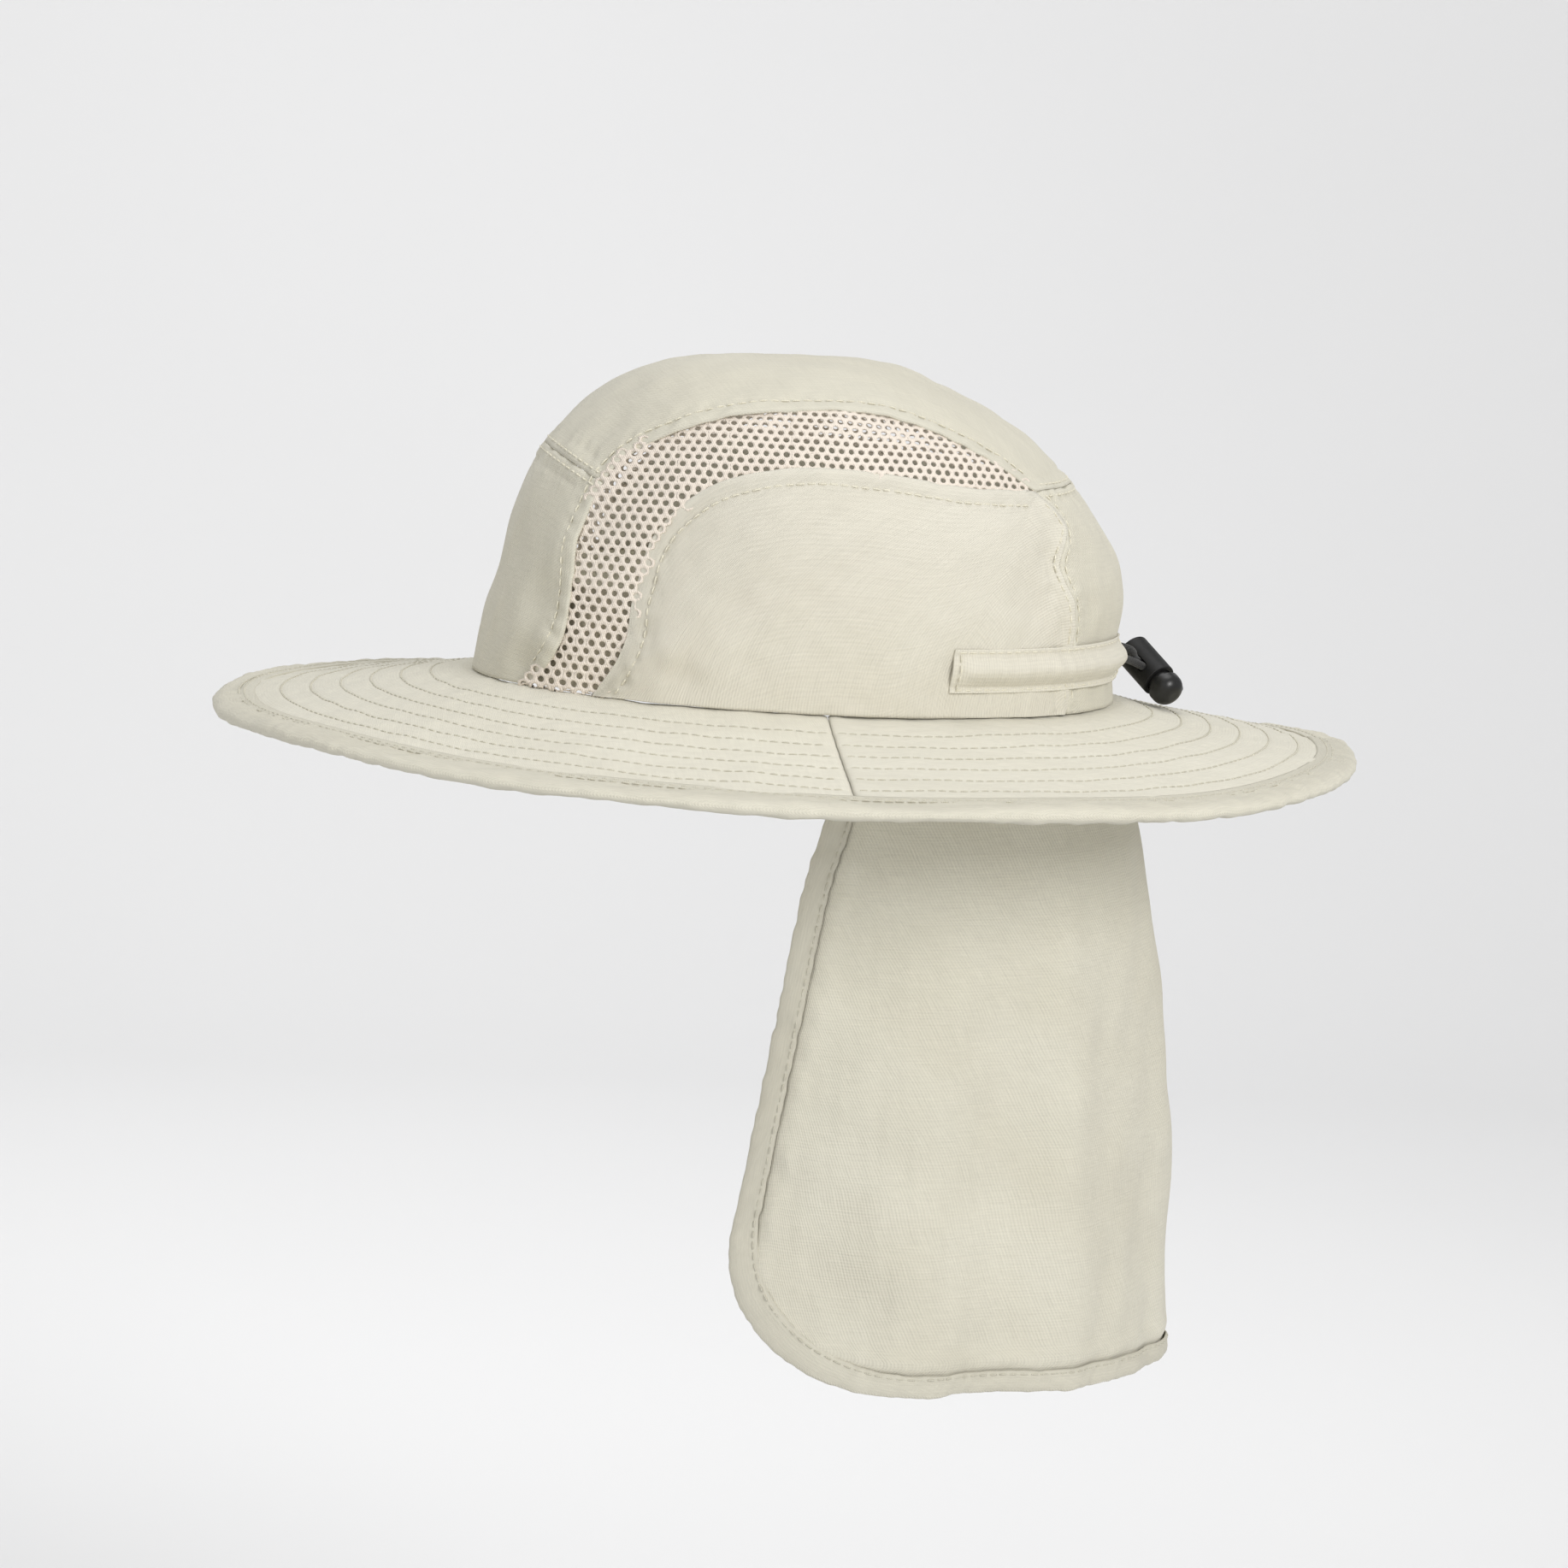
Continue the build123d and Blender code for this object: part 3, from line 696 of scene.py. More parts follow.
def make_front_panel():
    rows = 60
    edge = part_of(vent_front, 0, front_share, rows)
    left, right = side_view_point(*edge, -1), side_view_point(*edge, 1)
    middle = profile_line(0, FRONT_SEAM_TOP, True, rows)
    grid = arc_fan(middle, right, 110, True)
    seams = [left, right, grid[-1]]
    finish_panel("front_panel_cloth", grid, seams, 21, twill, "twill", ["front_panel"], lift=0.7)
    return grid


def arc_fan(middle, right, count, front):
    """Like fan, but follows the crown's ovals, for panels that wrap round an end."""
    s = np.linspace(-1, 1, count)[None, :]
    z = middle[:, 2][:, None] + (right[:, 2] - middle[:, 2])[:, None] * s**2
    f, b, _ = crown_widths(right[:, 2])
    centre, half = (f + b) / 2, (b - f) / 2
    lean = -1 if front else 1
    reach = np.arccos(np.clip(lean * (right[:, 0] - centre) / half, -1, 1))[:, None]
    f, b, w = crown_widths(z)
    centre, half = (f + b) / 2, (b - f) / 2
    turn = s * reach
    return np.stack([centre + lean * half * np.cos(turn), w * np.sin(turn), z], -1)


FRONT_SEAM_TOP = 69.0
BACK_SEAM_TOP = 65.8


def make_back_panel():
    rows = 60
    edge = part_of(back_seam, 1, 0, rows)
    left, right = side_view_point(*edge, -1), side_view_point(*edge, 1)
    middle = profile_line(0, BACK_SEAM_TOP, False, rows)
    grid = arc_fan(middle, right, 110, False)
    seams = [left, right, grid[-1]]
    finish_panel("back_panel_cloth", grid, seams, 31, twill, "twill", ["back_panel"], lift=0.5, row=3.0)
    return grid


def make_top_panel():
    rows = 120
    edge = part_of(vent_front, front_share, 1, rows)
    left, right = side_view_point(*edge, -1), side_view_point(*edge, 1)
    rise = profile_line(FRONT_SEAM_TOP, crown_height - 0.02, True, 200)
    fall = profile_line(crown_height - 0.02, BACK_SEAM_TOP, False, 200)
    middle = resample_like(resample(np.concatenate([rise, fall]), 1.0), rows)
    grid = fan(left, middle, right, 90)
    seams = [left, right, grid[0], grid[-1]]
    finish_panel("top_panel_cloth", grid, seams, 41, twill, "twill", ["top_panel"], lift=0.8)


def make_crown_rows():
    for sign in (-1, 1):
        out = seam_line(vent_front, sign)
        inner = seam_line(vent_rear, sign)
        back = seam_line(back_seam, sign)
        sew(out[8:-6], (-90, sign * 20, 60), 5.0)
        sew(inner[10:-10], (10, sign * 76, 20), 5.0)
        sew(back[10:-6], (40, sign * 76, 30), 2.2)
        sew(back[10:-6], (100, 0, 30), 2.2)


for side, sign in (("left", -1), ("right", 1)):
    make_side_panel(side, sign)
front_grid = make_front_panel()
back_grid = make_back_panel()
make_top_panel()
make_crown_rows()
cross_seams = (
    (front_grid[-1], (-95, 0, 50), (0, 0, 100)),
    (back_grid[-1], (0, 0, 100), (100, 0, 40)),
)
for seam, ahead, behind in cross_seams:
    sew(seam[3:-3], ahead, 2.0)
    sew(seam[3:-3], behind, 2.0)


# Mesh vents: knitted cloth with a lattice of round holes ---------------------------------------

HOLE_PITCH = 2.95
HOLE_RADIUS = 0.90
TUCK = 1.6  # how far the mesh runs under its neighbours


def make_vent(side, sign):
    """Hexagon cells, each with a round hole, laid on the crown between the two seams."""
    xs = np.linspace(-88, 70, 240)
    zs = np.linspace(0, 92, 260)
    grid_x, grid_z = np.meshgrid(xs, zs, indexing="ij")
    y = side_view_point(grid_x, grid_z, 1)[..., 1]
    step = np.hypot(np.diff(zs)[None], np.diff(y, axis=1))
    climb = np.concatenate([np.zeros((len(xs), 1)), np.cumsum(np.minimum(step, 3.0), 1)], 1)
    outer = np.stack(vent_front, -1)
    inner = np.stack(vent_rear, -1)
    polygon = np.concatenate([outer, inner[::-1]])

    def climb_to_z(x, q):
        i = np.clip((x - xs[0]) / (xs[1] - xs[0]), 0, len(xs) - 1.001)
        k = int(i)
        t = i - k
        column = climb[k] * (1 - t) + climb[k + 1] * t
        return np.interp(q, column, zs)

    def inside(x, z):
        px, pz = polygon[:, 0], polygon[:, 1]
        qx, qz = np.roll(px, 1), np.roll(pz, 1)
        cross = (pz > z) != (qz > z)
        where = (qx - px) * (z - pz) / np.where(qz == pz, 1e-9, qz - pz) + px
        return bool(np.sum(cross & (x < where)) % 2)

    def near(x, z):
        return np.min(np.hypot(polygon[:, 0] - x, polygon[:, 1] - z))

    rng = np.random.default_rng(50 + int(sign))
    index, points, faces = {}, [], []

    def vertex(x, q):
        key = (round(x, 2), round(q, 2))
        if key not in index:
            index[key] = len(points)
            z = climb_to_z(x, q)
            points.append((x, z, q))
        return index[key]

    row_height = HOLE_PITCH * math.sqrt(3) / 2
    for row in range(0, int(130 / row_height)):
        for col in range(int(160 / HOLE_PITCH)):
            x = -88 + (col + 0.5 * (row % 2)) * HOLE_PITCH
            q = row * row_height
            if x > 69:
                continue
            z = climb_to_z(x, q)
            if not (inside(x, z) or near(x, z) < TUCK) or z > 91 or z < 0:
                continue
            rim, hole = [], []
            squash = 1 + rng.normal(0, 0.04)
            size = HOLE_RADIUS * (1 + rng.normal(0, 0.05))
            lean = rng.normal(0, 0.2)
            for k in range(12):
                turn = math.tau * k / 12
                reach = HOLE_PITCH / 2 / math.cos(((turn + math.pi / 6) % (math.pi / 3)) - math.pi / 6)
                rim.append(vertex(x + reach * math.cos(turn), q + reach * math.sin(turn)))
                hx = size * squash * math.cos(turn + lean * 0.1)
                hq = size / squash * 1.04 * math.sin(turn + lean * 0.1)
                hole.append(vertex(x + hx, max(0.0, q + hq)))
            for k in range(12):
                m = (k + 1) % 12
                faces.append((rim[k], rim[m], hole[m], hole[k]))
    flat = np.array(points)
    crown = side_view_point(flat[:, 0], np.clip(flat[:, 1], 0, 99), sign)
    away = crown - HEART
    away /= np.linalg.norm(away, axis=1, keepdims=True)
    relief = -0.55 + 0.35 * ripple(crown, 24.0, 60 + int(sign)) + 0.12 * ripple(crown, 6.0, 61)
    crown = crown + away * relief[:, None]
    if sign < 0:
        faces = [tuple(reversed(f)) for f in faces]
    place = np.stack([flat[:, 0], flat[:, 2], np.zeros(len(flat))], -1)
    piece = make_mesh(f"mesh_vent_{side}_knit", crown, faces, knit, place)
    solid = piece.modifiers.new("thickness", "SOLIDIFY")
    solid.thickness = 0.55 * MM
    solid.offset = -1
    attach(piece, "hat")
    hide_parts(f"mesh_vent_{side}")


for side, sign in (("left", -1), ("right", 1)):
    make_vent(side, sign)


# Brim -----------------------------------------------------------------------------------------

BRIM_FRONT, BRIM_BACK, BRIM_SIDE = 77.5, 75.5, 76.0
BRIM_DROP, BRIM_ROLL = 14.5, 2.5
BRIM_CENTRE = (head_back - head_front) / 2
HEAD_HALF = (head_back + head_front) / 2
STITCH_ROWS = [11.8 + 9.0 * k for k in range(6)]
HEM_ROWS = [67.2, 68.8]
HEM_START = 66.0
FAR_DROOP = 5.0  # the rear right of the brim hangs lower
LOCK_ROOM = 0.8  # the brim gives way below the cord lock


def brim_width(turn):
    length = np.where(np.cos(turn) > 0, BRIM_BACK, BRIM_FRONT)
    return np.hypot(length * np.cos(turn), BRIM_SIDE * np.sin(turn))


def brim_surface(turn, reach):
    """The brim's top at an angle (0 is the back) and a distance out from the crown."""
    width = brim_width(turn)
    share = np.clip(reach / (width - 3.2), 0, 1.2)
    drop = (BRIM_DROP - BRIM_ROLL * np.cos(2 * turn)) * share**0.85
    wave = 0.9 * np.sin(3 * turn + 0.7) + 0.7 * np.sin(5 * turn + 2.1) + 0.4 * np.sin(9 * turn)
    wave = wave - FAR_DROOP * np.exp(-((turn % math.tau - 0.75) / 0.55) ** 2)
    x = BRIM_CENTRE + (HEAD_HALF + reach) * np.cos(turn)
    y = (head_half_width + reach) * np.sin(turn)
    under_lock = LOCK_ROOM * np.exp(-((np.sin(turn / 2) / 0.22) ** 2) - ((reach - 18) / 12) ** 2)
    return np.stack([x, y, -drop + wave * share**2 * 0.8 - under_lock], -1)


def brim_relief(grid, reach, seed):
    """Stitched channels swell between the rows, with fine puckers across them."""
    height = np.zeros(grid.shape[:2])
    for row in STITCH_ROWS + HEM_ROWS[:1]:
        height -= 0.24 * np.exp(-((reach - row) / 0.75) ** 2)
    channel = np.sin((reach - STITCH_ROWS[0]) / 9.0 * math.pi) ** 2
    height += 0.12 * channel * ripple(grid, 5.0, seed) + 0.16 * ripple(grid, 13.0, seed + 1)
    height += 0.25 * ripple(grid, 45.0, seed + 2)
    seam_gap = np.abs(grid[..., 0] - BRIM_CENTRE)
    height -= 0.45 * np.exp(-(seam_gap / 0.7) ** 2)
    height += 0.22 * np.exp(-((seam_gap - 2.6) / 1.8) ** 2)
    height -= 0.5 * np.exp(-(reach / 1.5) ** 2)
    return height


def make_brim_face(name, first, last, underside, seed, node):
    turns = np.radians(np.linspace(first, last, 420))
    reaches = np.linspace(-1.3, HEM_START + 4.5, 132)
    turn, reach = np.meshgrid(turns, reaches, indexing="ij")
    grid = brim_surface(turn, reach)
    normals = grid_normals(grid)
    if normals[200, 60][2] < 0:
        normals = -normals
    height = brim_relief(grid, reach, seed)
    if underside:
        grid = grid - normals * (3.1 + 0.6 * height[..., None])
    else:
        grid = grid + normals * height[..., None]
    up = grid_normals(grid)[200, 60][2] > 0
    if up == underside:
        grid = grid[::-1]
    piece = sheet_piece(name, grid, 0.55, brim_cloth)
    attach(piece, "hat")
    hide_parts(node)


BRIM_HALVES = {"rear": (-90.0, 90.0), "front": (90.0, 270.0)}
for half, (first, last) in BRIM_HALVES.items():
    span = (first + 0.05, last - 0.05)
    make_brim_face(f"brim_upper_{half}_cloth", *span, False, 70, f"brim_upper_{half}")
    make_brim_face(f"brim_under_{half}_cloth", *span, True, 72, f"brim_under_{half}")


def make_stiffener(half, first, last):
    turns = np.radians(np.linspace(first, last, 240))
    turn, reach = np.meshgrid(turns, np.linspace(0.5, HEM_START + 1.0, 60), indexing="ij")
    grid = brim_surface(turn, reach)
    normals = grid_normals(grid)
    if normals[120, 30][2] < 0:
        grid, normals = grid[::-1], -normals[::-1]
    piece = sheet_piece(f"brim_stiffener_{half}_layer", grid - normals * 1.25, 1.1, interlining)
    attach(piece, "hat")
    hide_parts(f"brim_stiffener_{half}")


for half, (first, last) in BRIM_HALVES.items():
    make_stiffener(half, first + 0.1, last - 0.1)


def make_brim_edge():
    """The rolled and stuffed hem: a band over the brim's rim, fat at the outside."""
    turns = np.radians(np.linspace(0, 360, 900, endpoint=False))
    outline = []
    width_in = 10.5
    for k in range(41):
        t = k / 40
        outline.append(hem_section(t, width_in))
    outline = np.array(outline)
    centre = brim_surface(turns, brim_width(turns) - edge_radius)
    inner = brim_surface(turns, brim_width(turns) - edge_radius - 8.0)
    out = centre - inner
    out /= np.linalg.norm(out, axis=1, keepdims=True)
    way = np.roll(centre, -1, 0) - np.roll(centre, 1, 0)
    way /= np.linalg.norm(way, axis=1, keepdims=True)
    up = np.cross(out, way)
    up *= np.sign(up[:, 2:3])
    across, rise = outline[None, :, :1], outline[None, :, 1:] - 1.5
    grid = centre[:, None] + out[:, None] * across + up[:, None] * rise
    swell = 0.22 * ripple(grid, 11.0, 80) + 0.16 * ripple(grid, 4.5, 81) + 0.3 * ripple(grid, 60.0, 82)
    bulge = (outline[:, 0] > -6.5)[None, :] * 1.0
    normals = grid_normals(grid, True)
    if normals[0, 20] @ out[0] < 0:
        normals = -normals
    grid = grid + normals * (swell * bulge)[..., None]
    # The hem roll's outer rim paler: a painted highlight.
    edge_highlight = np.exp(-((outline[:, 0] - 2.0) / 1.5) ** 2)[None, :].repeat(len(turns), 0) * 0.8
    if grid_normals(grid, True)[0, 20] @ out[0] < 0:
        grid = grid[:, ::-1]
    piece = sheet_piece("brim_edge_cloth", grid, 0.5, twill, closed=True, edge_highlight=edge_highlight)
    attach(piece, "hat")
    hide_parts("brim_edge_front", "brim_edge_rear")


def hem_section(t, width_in):
    """Outline of the hem from its top stitch line, round the roll, to its under stitch line."""
    if t < 0.3:
        s = t / 0.3
        return (-width_in + s * (width_in - 1.5), 1.75 + 0.35 * math.sin(s * math.pi) + 0.8 * s**3)
    if t > 0.7:
        s = (1 - t) / 0.3
        return (-width_in + s * (width_in - 1.5), -1.95 - 0.3 * math.sin(s * math.pi) - 0.5 * s**3)
    s = (t - 0.3) / 0.4
    turn = math.pi / 2 - s * math.pi
    return (-1.5 + 4.0 * math.cos(turn), 0.05 + 2.5 * math.sin(turn))


make_brim_edge()


def brim_rows():
    top, bottom = [], []
    for row in STITCH_ROWS:
        for first, last in BRIM_HALVES.values():
            turns = np.radians(np.linspace(first + 0.6, last - 0.6, 400))
            reach = np.full(400, row)
            line = brim_surface(turns, reach)
            over = brim_relief(line[None], reach[None], 70)[0]
            under = brim_relief(line[None], reach[None], 72)[0]
            top.append((line + np.outer(over + 0.06, [0, 0, 1]), np.tile([0, 0, 1.0], (400, 1))))
            bottom.append((line - np.outer(3.16 + 0.6 * under, [0, 0, 1]), np.tile([0, 0, -1.0], (400, 1))))
    turns = np.radians(np.linspace(0.4, 359.6, 900))
    for row in HEM_ROWS:
        line = brim_surface(turns, brim_width(turns) - 77.5 + row + 0.6)
        top.append((line + [0, 0, 0.55], np.tile([0, 0, 1.0], (900, 1))))
    line = brim_surface(turns, brim_width(turns) - 77.5 + HEM_ROWS[1])
    bottom.append((line + [0, 0, -3.9], np.tile([0, 0, -1.0], (900, 1))))
    stitch_rows("brim_topstitching", top, shade_dark_thread, seed=91)
    stitch_rows("brim_understitching", bottom, shade_dark_thread, seed=92)


brim_rows()


# Sweatband inside the head opening ------------------------------------------------------------


def ring_grid(columns, heights, inset):
    """A band that follows the crown's inside."""
    turns = np.linspace(0, math.tau, columns, endpoint=False)
    turn, z = np.meshgrid(turns, heights, indexing="ij")
    front, back, side = crown_widths(np.clip(z, 0, None))
    front, back, side = front + inset, back - inset, side - inset
    centre, half = (front + back) / 2, (back - front) / 2
    return np.stack([centre + half * np.cos(turn), side * np.sin(turn), z], -1)


BAND_INSET = 3.7  # the band's inner face, inside the crown's outer face


def make_sweatband():
    low, high = box_mm("sweatband")
    heights = np.linspace(low[2] + 0.4, high[2] - 0.4, 34)
    grid = ring_grid(420, heights, BAND_INSET)
    middle = (heights[0] + heights[-1]) / 2
    puff = 0.5 * (1 - ((heights - middle) / (heights[-1] - middle)) ** 4)
    inward = grid_normals(grid, True)
    if inward[0, 10] @ grid[0, 10] > 0:
        inward = -inward
    rise = puff[None] + 0.25 * ripple(grid, 12.0, 101)
    rise -= 0.35 * np.exp(-((heights - heights[3]) / 1.0) ** 2)[None]
    rise -= 0.35 * np.exp(-((heights - heights[-4]) / 1.0) ** 2)[None]
    grid = grid + inward * rise[..., None]
    if grid_normals(grid, True)[0, 10] @ inward[0, 10] < 0:
        grid = grid[:, ::-1]
    piece = sheet_piece("sweatband_cloth", grid, 1.0, tape, closed=True)
    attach(piece, "hat")
    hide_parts("sweatband")
    rows = []
    for height in (heights[3], heights[-4]):
        line = ring_grid(700, np.array([height]), BAND_INSET)[:, 0]
        normals = np.stack([-line[:, 0], -line[:, 1], np.zeros(700)], -1)
        normals /= np.linalg.norm(normals, axis=1, keepdims=True)
        rows.append((line + normals * 0.15, normals))
    stitch_rows("sweatband_stitching", rows, shade_dark_thread, seed=102)


make_sweatband()


# Drawcord casing round the back -----------------------------------------------------------------

CASING_OUTSET = 4.2
CASING_ROWS = 1.6  # stitch rows in from the casing's long edges
MOUTH_HALF = 7.0


def casing_outline(share):
    """How far the casing stands off the panel at a share of its height."""
    edge = np.minimum(share, 1 - share) * (casing_high[2] - casing_low[2])
    bow = np.clip((edge - CASING_ROWS) / (6.5 - CASING_ROWS), 0, 1)
    return 0.9 + (CASING_OUTSET - 0.9) * np.sin(bow * math.pi / 2) ** 1.3


def make_casing(side, sign):
    front, back, half_width = crown_widths(np.array(14.0))
    centre, half = (front + back) / 2, (back - front) / 2
    first = math.acos((casing_low[0] - centre) / half)
    last = math.asin(MOUTH_HALF / half_width)
    turns = np.linspace(first, last, 260)
    shares = np.linspace(0, 1, 44)
    turn, share = np.meshgrid(turns, shares, indexing="ij")
    z = casing_low[2] + share * (casing_high[2] - casing_low[2])
    f, b, w = crown_widths(z)
    c, h = (f + b) / 2, (b - f) / 2
    base = np.stack([c + h * np.cos(turn), sign * w * np.sin(turn), z], -1)
    out = np.stack([np.cos(turn) / h, sign * np.sin(turn) / w, 0 * z], -1)
    out /= np.linalg.norm(out, axis=-1, keepdims=True)
    rise = casing_outline(share)
    start = (first - turn) * half_width
    finish = (turn - last) * half_width
    rise = 0.75 + (rise - 0.75) * (0.35 + 0.65 * smoothstep(start / 6.0))
    gather = np.exp(-(finish / 14.0) ** 2)
    puckers = ripple(base, 5.5, 110 + int(sign)) * 0.5 + ripple(base, 12.0, 112) * 0.5
    rise = rise + (0.42 + 0.5 * gather) * puckers * (0.35 + 0.65 * smoothstep(rise / 3))
    for row in (CASING_ROWS, casing_high[2] - casing_low[2] - CASING_ROWS):
        gap = share * (casing_high[2] - casing_low[2]) - row
        rise -= 0.2 * np.exp(-(gap / 0.6) ** 2)
    grid = base + out * rise[..., None]
    flip = grid_normals(grid)[130, 22] @ out[130, 22] < 0
    # Paler along the casing's folded long edges: a painted highlight.
    edge_highlight = np.exp(-(np.minimum(share, 1 - share) * 13 / 0.8) ** 2)
    if flip:
        grid, edge_highlight = grid[::-1], edge_highlight[::-1]
    piece = sheet_piece(f"casing_{side}_cloth", grid, 0.6, ribbed, edge_highlight=edge_highlight)
    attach(piece, "hat")
    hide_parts(f"casing_{side}")
    rows = []
    for row in (3, 40):
        line = (base + out * 0.72)[3:-2, row]
        rows.append((line, out[3:-2, row]))
    for column in (5, 250):
        line = base[column] + out[column] * (casing_outline(shares)[:, None] * 0.72 + 0.25)
        rows.append((line, out[column]))
    stitch_rows(f"casing_{side}_stitching", rows, thread, seed=113)


for side, sign in (("left", -1), ("right", 1)):
    make_casing(side, sign)


# Neck flap ------------------------------------------------------------------------------------

FLAP_TOP = 12.4
FLAP_CENTRE_X, FLAP_REACH = 20.0, 76.5
FLARE, FLARE_DEPTH = 31.0, 75.0
TWIST, TWIST_DEPTH = math.radians(10.0), 37.0
FLAP_HALF_WIDTH, FLAP_SPREAD = 70.0, 0.03
FRONT_TOP, FRONT_SLANT = 18.5, 0.15
CORNER, CORNER_SHARE = 46.0, 0.30
HEM_WIDTH = 6.5


def flap_reach(depth):
    return FLAP_REACH + FLARE * (1 - np.exp(-depth / FLARE_DEPTH))


def flap_front(depth):
    """Angle of the flap's front edge at a depth; 0 is the middle of the back."""
    return math.pi / 2 + (FLAP_CENTRE_X - (FRONT_TOP - FRONT_SLANT * depth)) / flap_reach(depth)


def flap_surface(depth, turn):
    x = flap_reach(depth) * np.cos(turn)
    y = (FLAP_HALF_WIDTH + FLAP_SPREAD * depth) * np.sin(turn)
    yaw = TWIST * (1 - np.exp(-((depth / TWIST_DEPTH) ** 3)))
    side = smoothstep((np.abs(turn) - 0.9) / 0.8)
    lag = np.where(turn < 0, -14 * np.exp(-((depth / 30) ** 2)), 14 * np.exp(-((depth / 60) ** 2)))
    across = FLAP_CENTRE_X + x * np.cos(yaw) + y * np.sin(yaw) + lag * side
    return np.stack([across, y * np.cos(yaw) - x * np.sin(yaw), -depth], -1)


def flap_relief(points, depth, turn):
    """Soft upright folds that grow towards the lower edge."""
    grow = smoothstep(depth / 150.0)
    folds = 2.1 * np.sin(5.0 * turn + 0.6 + 0.004 * depth) + 1.3 * np.sin(9.0 * turn + 2.0 - 0.006 * depth)
    folds += 0.7 * np.sin(15.0 * turn + 1.1)
    soft = 0.9 * ripple(points, 48.0, 120) + 0.4 * ripple(points, 18.0, 121)
    soft -= 3.0 * np.exp(-(((turn + 1.02) / 0.16) ** 2)) * smoothstep((depth - 40) / 60)
    soft += 1.6 * np.exp(-(((turn + 0.72) / 0.14) ** 2)) * smoothstep((depth - 30) / 60)
    creases = ripple(points * [1.0, 1.0, 0.12], 5.0, 122)
    soft += 0.28 * creases * np.exp(-(((turn + 1.15) / 0.35) ** 2))
    return grow * folds * 0.95 + (0.35 + 0.75 * grow) * soft


def flap_depth_limit(turn_share):
    """Lower edge of the flap: flat in the middle with rounded corners."""
    edge = np.abs(turn_share)
    corner = np.clip((edge - (1 - CORNER_SHARE)) / CORNER_SHARE, 0, 1)
    return flap_length - CORNER * (1 - np.sqrt(np.clip(1 - corner**2, 0, 1)))


def flap_grid(columns, rows, inset, first=0.0):
    """Columns run from one front edge to the other, rows from the seam down."""
    s = np.sin(np.linspace(-math.pi / 2, math.pi / 2, columns))
    t = np.linspace(0, 1, rows)
    s_grid, t_grid = np.meshgrid(s, t, indexing="ij")
    limit = flap_depth_limit(s_grid) - inset
    depth = FLAP_TOP + (limit - FLAP_TOP) * (first + (1 - first) * t_grid)
    turn = s_grid * (flap_front(depth) - inset / flap_reach(depth))
    return depth, turn


def make_flap():
    depth, turn = flap_grid(260, 190, 0.0)
    base = flap_surface(depth, turn)
    out = grid_normals(base)
    if out[130, 90][0] < 0:
        out = -out
    height = flap_relief(base, depth, turn)
    border = flap_border(depth, turn)
    height += 0.9 * np.exp(-((border - HEM_WIDTH - 3.5) / 2.6) ** 2) * (0.8 + 0.4 * ripple(base, 11.0, 124))
    height -= 0.4 * np.exp(-((border - HEM_WIDTH) / 0.8) ** 2)
    height += 0.25 * smoothstep((30 - depth) / 20) * ripple(base, 6.0, 125)
    thin = base + out * (height - 0.35 * (border < HEM_WIDTH))[..., None]
    if grid_normals(thin)[130, 90][0] < 0:
        thin = thin[::-1]
    piece = sheet_piece("neck_flap_cloth", thin, 0.6, flap_cloth)
    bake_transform(piece)
    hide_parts("neck_flap")


def flap_border(depth, turn):
    """Millimetres in from the flap's free edge."""
    side = (flap_front(depth) - np.abs(turn)) * flap_reach(depth) * 0.86
    share = np.abs(turn) / flap_front(depth)
    down = flap_depth_limit(share) - depth
    return np.minimum(side, down)


def hem_path(count, inset):
    """The flap's free edge, from the left top corner round to the right one."""
    s = np.linspace(-1, 1, 4001)
    limit = flap_depth_limit(s) - inset
    turn = s * (flap_front(limit) - inset / flap_reach(limit) / 0.86)
    down = np.linspace(FLAP_TOP + 0.6, limit[0], 900)
    first = np.stack([down, -(flap_front(down) - inset / flap_reach(down) / 0.86)], -1)
    bottom = np.stack([limit, turn], -1)[1:-1]
    last = first[::-1] * [1, -1]
    track = np.concatenate([first, bottom, last])
    place = flap_surface(track[:, 0], track[:, 1])
    length = np.concatenate([[0], np.cumsum(np.linalg.norm(np.diff(place, axis=0), axis=1))])
    want = np.linspace(0, length[-1], count)
    return np.interp(want, length, track[:, 0]), np.interp(want, length, track[:, 1])


def flap_place(depth, turn, rise):
    """A point of the folded flap, rise millimetres outside its middle."""
    base = flap_surface(depth, turn)
    step, small_turn = 0.4, 0.004
    du = flap_surface(depth, turn + small_turn) - flap_surface(depth, turn - small_turn)
    dv = flap_surface(depth + step, turn) - flap_surface(depth - step, turn)
    out = np.cross(du, dv)
    out /= np.linalg.norm(out, axis=-1, keepdims=True)
    flip = np.sign(out[..., 0:1] * (base[..., 0:1] - FLAP_CENTRE_X) + out[..., 1:2] * base[..., 1:2])
    out = out * flip
    return base + out * (flap_relief(base, depth, turn) + rise)[..., None], out


